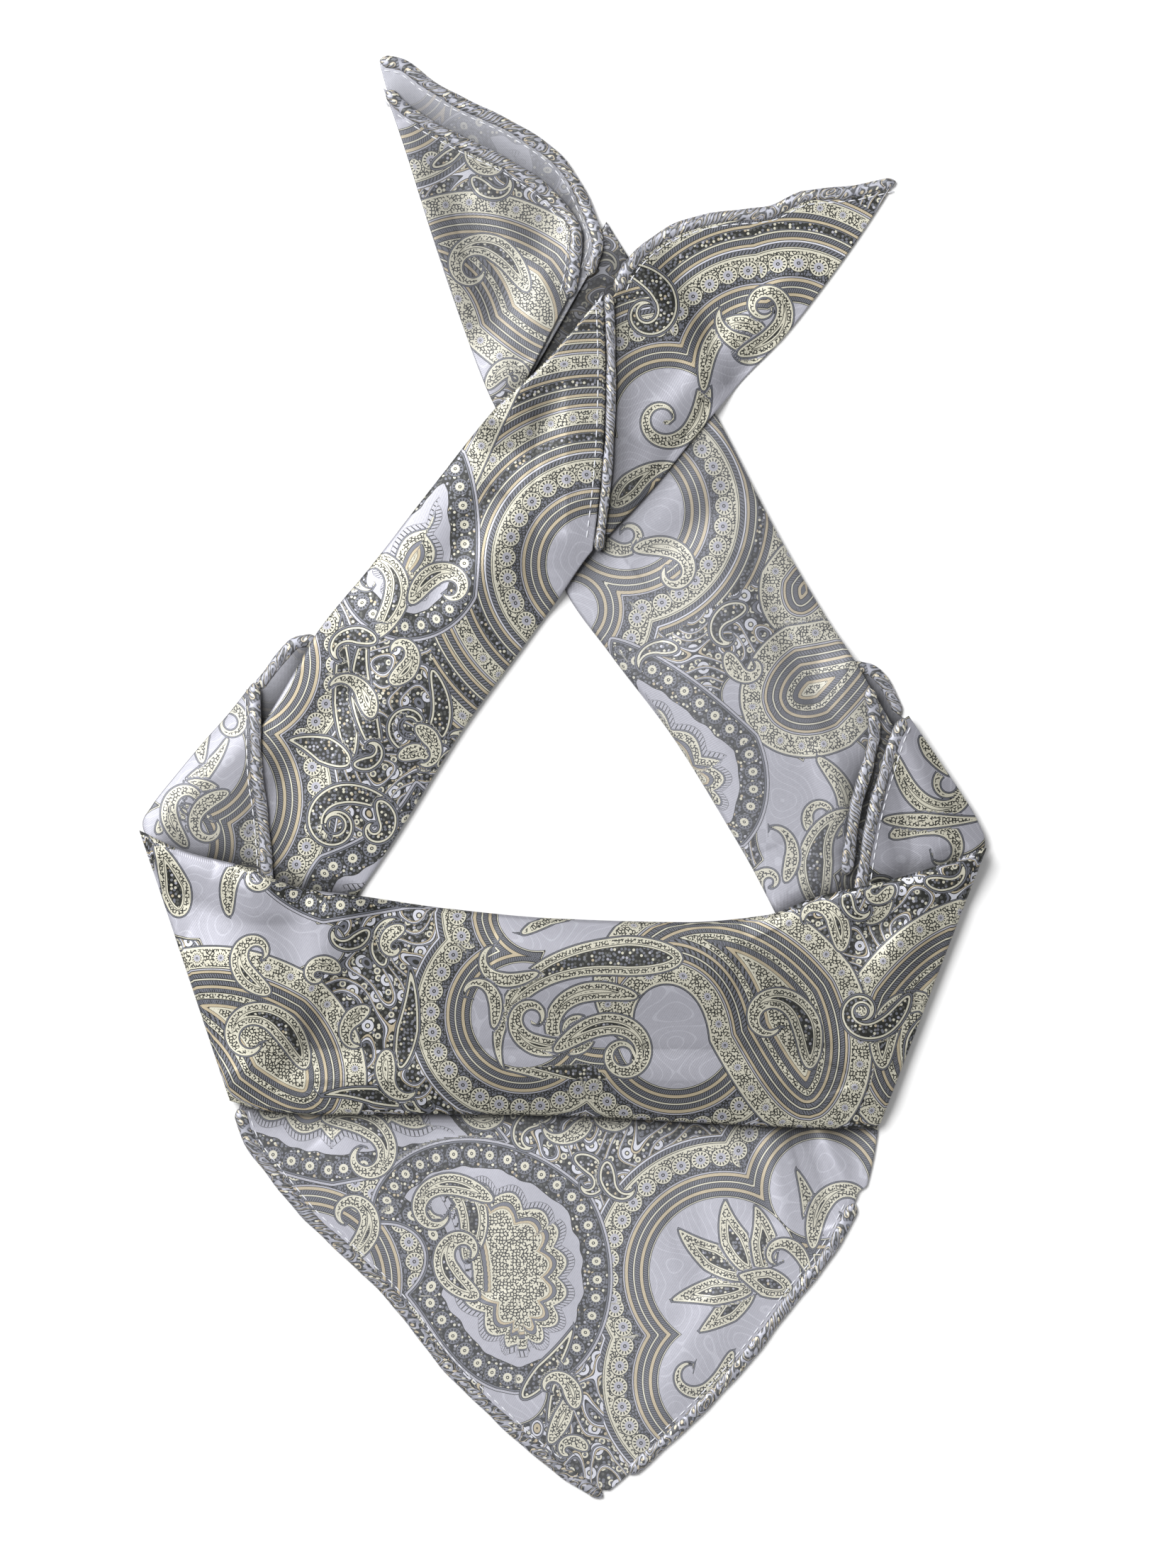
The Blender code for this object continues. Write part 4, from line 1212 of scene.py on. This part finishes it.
LEFT_STRETCH = (
    (-120.0, -19.0, -96.0, -91.0, 1.6, 0.2),
    (-109.0, -6.5, -81.5, -70.0, 1.7, 0.3),
    (-97.0, 4.5, -69.5, -50.5, 1.8, 0.4),
    (-86.5, 16.0, -59.0, -33.5, 2.0, 0.6),
    (-79.5, 27.0, -52.0, -23.0, 2.2, 0.8),
    (-70.5, 42.5, -45.0, -12.0, 2.4, 1.0),
    (-55.5, 61.0, -28.5, 14.5, 2.4, 1.2),
    (-36.5, 85.5, -11.0, 38.5, 2.2, 1.0),
    (-19.5, 106.5, 0.0, 53.5, 1.8, 0.8),
    (-6.5, 118.5, 4.0, 59.5, 1.5, 0.6),
    (3.5, 130.0, 6.5, 63.0, 1.3, 0.4),
    (11.5, 139.5, 8.5, 65.5, 1.2, 0.2),
)
LEFT_STRETCH_BOW = 2.0  # how far the crossing edge bends out
CROSSING_HEM_WIDTH = 3.3  # the hem on that edge is a tighter roll
CROSSING_HEM_HEIGHT = 1.3
CROSSING_HEM_OUT = 1.6  # of its middle line, past the edge
CROSSING_STITCH_DEPTH = 2.2
LEFT_STRETCH_CREASES = (
    (-70.0, -20.0, -40.0, 60.0, 7.0, 0.5),
    (-60.0, 20.0, -20.0, 84.0, 6.0, -0.5),
    (-34.0, 40.0, 0.0, 100.0, 6.0, 0.4),
    (-10.0, 112.0, 4.0, 80.0, 5.0, -0.4),
)
LEFT_STRETCH_LOOK = {
    "twill": 15,
    "haze": 0.03,
    # Painted light and shade: lighter at the start, darker towards the crossing.
    "tone": (1.3, 1.1, 0.9),
    "seed": 31,
    "grounds": ((9.7, 61.6, 14.3, 62), (-94.1, 33, 16.7), (-104.6, -6, 22)),
    "teardrops": ((-50, 72, 60, 24, 52, -10, 0.4),),
    "laces": ((-55, 42, 62, 42, 60, 25, 0.36), (-72, -50, 60, 38, 40, 60, 0.35)),
    "scrolls": (
        (-55, 40, 44, 7.0, 52, 320, 0.35),
        (-44, 50, 30, 6.0, 62, -300, 0.35),
        (-61, 5, 42, 7.0, 96, -8, 0.4, 1),
        (-53, 6, 40, 7.0, 108, -50, 0.45, 1),
        (-38, 32, 60, 6.0, -70, -620, 0.3, 1),
        (-47, -10, 60, 6.0, 150, 560, 0.3, 1),
        (-61, 4, 20, 8.0, 150, 30, 0.45, 1),
    ),
}
stretch_rows = close_rows(LEFT_STRETCH)
crossing_rows, _ = plan_grid(stretch_rows, (60, 60), 0.0, LEFT_STRETCH_BOW)
crossing = crossing_rows[-1]
past = inward(crossing, crossing + (5.0, 0.0))
crossing_path = resting(crossing + past * CROSSING_HEM_OUT)
cloth(
    "left_stretch",
    stretch_rows,
    LEFT_STRETCH_CREASES,
    LEFT_STRETCH_LOOK,
    folds=3,
    round_in=RIM_ROUND,
    bow=LEFT_STRETCH_BOW,
    crown=STRETCH_CROWN,
)
stitches("left_stretch_stitches", sewn(crossing - past * CROSSING_STITCH_DEPTH))
rolled_hem("left_stretch_hem", crossing_path, CROSSING_HEM_WIDTH, CROSSING_HEM_HEIGHT)

# The wings
# Loose outer layers beside the band, each with a hem down its inner edge, and one more hem beside the right
# wing's, which is the outer layer's of the stretch there.

LEFT_WING = (
    (-89.8, 27.0, -87.0, 27.5, 0, 1),
    (-96.5, 18.5, -86.6, 14.0, 0, 1),
    (-104.0, 10.0, -86.2, 1.5, 0, 1),
    (-111.5, 1.0, -84.8, -8.5, 0, 1),
    (-118.5, -8.0, -83.8, -19.0, 0, 1),
    (-121.2, -13.2, -83.2, -27.5, 0, 1),
    (-118.5, -21.0, -82.4, -33.0, 0, 1),
)
RIGHT_WING = (
    (96.5, 18.0, 99.6, 18.0, 1, 0),
    (93.8, 12.0, 103.7, 12.0, 1, 0),
    (90.8, 2.5, 109.7, 3.2, 1, 0),
    (88.3, -6.0, 114.7, -4.3, 1, 0),
    (86.3, -15.0, 118.7, -10.8, 1, 0),
    (84.3, -27.5, 121.6, -18.8, 1, 0),
    (83.3, -34.0, 118.5, -26.5, 1, 0),
)
RIGHT_STRETCH_HEM = (
    (88.0, 26.0),
    (89.6, 18.0),
    (89.6, 11.5),
    (87.7, 3.3),
    (86.0, -2.0),
    (84.5, -7.0),
    (83.2, -15.5),
    (81.6, -28.0),
)
RIGHT_WING_CREASES = (
    (98.0, 14.0, 112.0, -20.0, 4.0, 0.4),
    (92.0, 2.0, 100.0, -28.0, 4.0, -0.4),
)
LEFT_WING_LOOK = {
    "twill": 60,
    "haze": 0.12,
    "tone": (0.8, 0.82, 0.86),
    "seed": 37,
    "grounds": ((-108, 7, 16.5), (-113, -19, 11), (-100, 18, 9)),
    "scrolls": (
        (-113, -7, 26, 4.6, 40, 30, 0.4),
        (-112, -4, 16, 3.8, 20, -90, 0.4),
        (-116, -10, 16, 3.4, 10, -60, 0.4),
        (-117, -16, 18, 3.6, 60, -270, 0.35),
        (-104, 4, 40, 4.6, 96, -420, 0.3),
        (-108, -20, 34, 4.6, 130, -380, 0.3),
        (-96, -4, 28, 4.2, 200, 300, 0.3),
    ),
}
RIGHT_WING_LOOK = {
    "twill": 60,
    "haze": 0.0,
    "tone": (0.9, 0.86, 0.86),
    "seed": 41,
    "grounds": ((104, 6, 12, 0.9), (100, -14, 16, 0.9), (112, -10, 12, 0.9)),
    "scrolls": (
        (95, 8, 58, 5.0, -72, 520, 0.35),
        (94, -17, 34, 5.5, 25, -250, 0.35),
        (92, -12, 30, 4.2, -2, 10, 0.4),
        (103, 12, 14, 3.6, -60, 20, 0.4),
    ),
}

left_path = resting(hem_line(LEFT_WING, "b"))
right_path = resting(hem_line(RIGHT_WING, "a"))
beside_path = resting(np.array(RIGHT_STRETCH_HEM))
cloth("left_wing", inside_hems(close_rows(LEFT_WING)), (), LEFT_WING_LOOK)
cloth("right_wing", inside_hems(close_rows(RIGHT_WING)), RIGHT_WING_CREASES, RIGHT_WING_LOOK)
stitches("left_wing_stitches", sewn(hem_line(LEFT_WING, "b", STITCH_DEPTH)))
stitches("right_wing_stitches", sewn(hem_line(RIGHT_WING, "a", STITCH_DEPTH)))
rolled_hem("left_wing_hem", left_path)
rolled_hem("right_wing_hem", right_path)
rolled_hem("right_stretch_hem", beside_path)

# The neck band
# The folded band across the front, on top of everything else.

NECK_BAND = (
    (-122.0, -15.0, -96.0, -93.0, 2.4, 0.3),
    (-109.0, -21.0, -85.0, -96.0, 2.8, 0.6),
    (-91.5, -25.5, -70.5, -97.0, 3.0, 0.8),
    (-76.0, -31.5, -55.5, -97.0, 3.2, 1.0),
    (-58.0, -34.0, -40.0, -97.0, 3.4, 1.2),
    (-34.0, -37.5, -21.5, -97.0, 3.6, 1.4),
    (-1.0, -40.5, 3.0, -97.5, 3.6, 1.4),
    (35.5, -41.5, 32.0, -99.0, 3.6, 1.4),
    (58.5, -39.5, 52.0, -100.0, 3.4, 1.2),
    (72.0, -34.5, 63.0, -100.5, 3.2, 1.0),
    (95.0, -29.0, 81.0, -101.0, 3.0, 0.8),
    (108.5, -25.0, 87.5, -101.0, 2.8, 0.6),
    (122.0, -20.0, 91.5, -99.5, 2.4, 0.3),
)
BAND_ROUND = 1.7  # how far its edge rounds in
BAND_CROWN = 3.2  # the power of its crown: flatter in the middle than a stretch's
NECK_BAND_CREASES = (
    (-110.0, -50.0, -60.0, -70.0, 9.0, 0.5),
    (-84.0, -30.0, -70.0, -90.0, 7.0, -0.5),
    (-20.0, -50.0, 50.0, -58.0, 10.0, 0.5),
    (60.0, -44.0, 80.0, -90.0, 8.0, -0.5),
    (84.0, -60.0, 112.0, -36.0, 6.0, 0.5),
    (116.0, -26.0, 92.0, -92.0, 4.5, -0.5),
    (106.0, -28.0, 80.0, -84.0, 5.0, 0.45),
    (-114.0, -22.0, -94.0, -84.0, 5.0, -0.45),
    (-100.0, -26.0, -30.0, -52.0, 5.5, 0.45),
    (-40.0, -88.0, 40.0, -92.0, 6.0, -0.35),
)
NECK_BAND_LOOK = {
    "twill": 25,
    "haze": 0.0,
    # Painted light and shade: lighter at the left end, darker in the middle and towards the right.
    "tone": (1.2, 0.79, 0.94),
    "seed": 43,
    "grounds": (
        (-7.3, -38, 11.6),
        (-11.4, -68.2, 15),
        (11.9, -58.6, 19),
        (32.4, -72.3, 17),
        (25.6, -44.9, 12.5),
        (8, -44, 12),
        (-106, -32, 14, 0.9),
        (-92, -42, 13, 0.9),
        (-79, -46, 9, 0.9),
        (-69, -48, 6, 0.9),
    ),
    "teardrops": (
        (-66, -106, 106, 48, 118, 200, 0.34),
        (96, -104, 110, 44, 84, -200, 0.34),
        (72, -106, 122, 46, 96, 230, 0.34),
    ),
    "laces": ((-94, -7, 82, 54, -14, -10, 0.4),),
    "scrolls": (
        (35, -52, 74, 11.0, 176, 118, 0.22),
        (-7, -56, 25, 3.8, 200, -190, 0.45),
        (-12.3, -45, 52, 4.4, 30, -45, 0.35),
        (22, -63, 68, 5.2, 168, 600, 0.22),
        (3, -77, 36, 5.5, 186, -330, 0.3),
        (-3, -79, 62, 6.0, 38, -520, 0.28),
        (-20, -72, 22, 3.6, 80, 200, 0.4),
        (-74, -84, 46, 8.0, 110, 320, 0.3),
        (-84, -62, 30, 6.0, 150, -300, 0.3),
        (71, -84, 46, 8.0, 88, 330, 0.3),
        (92, -84, 44, 8.0, 92, -330, 0.3),
        (80, -50, 24, 6.0, 90, 200, 0.35),
        (-110, -40, 24, 9.0, 102, 25, 0.35),
        (104, -90, 48, 5.5, 112, -520, 0.3, 1),
        (100, -62, 44, 5.5, 240, -480, 0.3, 1),
        (-96, -40, 40, 4.6, 96, -460, 0.3),
        (-47, -84, 30, 6.5, 78, 20, 0.4, 1),
        (-44, -94, 26, 5.0, 165, 30, 0.4, 1),
    ),
}

cloth(
    "neck_band",
    close_rows(NECK_BAND),
    NECK_BAND_CREASES,
    NECK_BAND_LOOK,
    folds=4,
    round_in=BAND_ROUND,
    crown=BAND_CROWN,
)

# All the cloth is laid now, so each piece takes the shade of what stands beside it.
for piece in bpy.context.scene.objects:
    if piece.type == "MESH" and "ground" in piece.data.attributes:
        shade(piece)

# The table and the light
# A white table, a large soft light from the upper left, and an even white room.

table_mesh = bpy.data.meshes.new("table")
table_mesh.from_pydata([(-2, -2, 0), (2, -2, 0), (2, 2, 0), (-2, 2, 0)], [], [(0, 1, 2, 3)])
table = bpy.data.objects.new("table", table_mesh)
table.location = (0, 0, -0.0002)
bpy.context.scene.collection.objects.link(table)
white = new_material("white table top")
white_shader = white.node_tree.nodes["Principled BSDF"]
white_shader.inputs["Base Color"].default_value = linear("#f2f2f2")
white_shader.inputs["Roughness"].default_value = 0.9
white_shader.inputs["Specular IOR Level"].default_value = 0.1
table_mesh.materials.append(white)


def soft_light(name, place, size, power):
    """A square lamp at a place, turned towards the scarf."""
    lamp = bpy.data.lights.new(name, "AREA")
    lamp.shape = "SQUARE"
    lamp.size = size
    lamp.energy = power
    holder = bpy.data.objects.new(name, lamp)
    holder.location = place
    holder.rotation_euler = (-holder.location).to_track_quat("-Z", "Y").to_euler()
    bpy.context.scene.collection.objects.link(holder)


soft_light("key", (-1.35, 1.15, 2.45), 1.8, 124)
soft_light("fill", (1.2, -1.2, 2.4), 1.6, 8)

room = bpy.data.worlds.new("room")
room.use_nodes = True
room.node_tree.nodes["Background"].inputs["Color"].default_value = linear("#ffffff")
room.node_tree.nodes["Background"].inputs["Strength"].default_value = 0.32
bpy.context.scene.world = room
bpy.context.scene.view_settings.view_transform = "Standard"
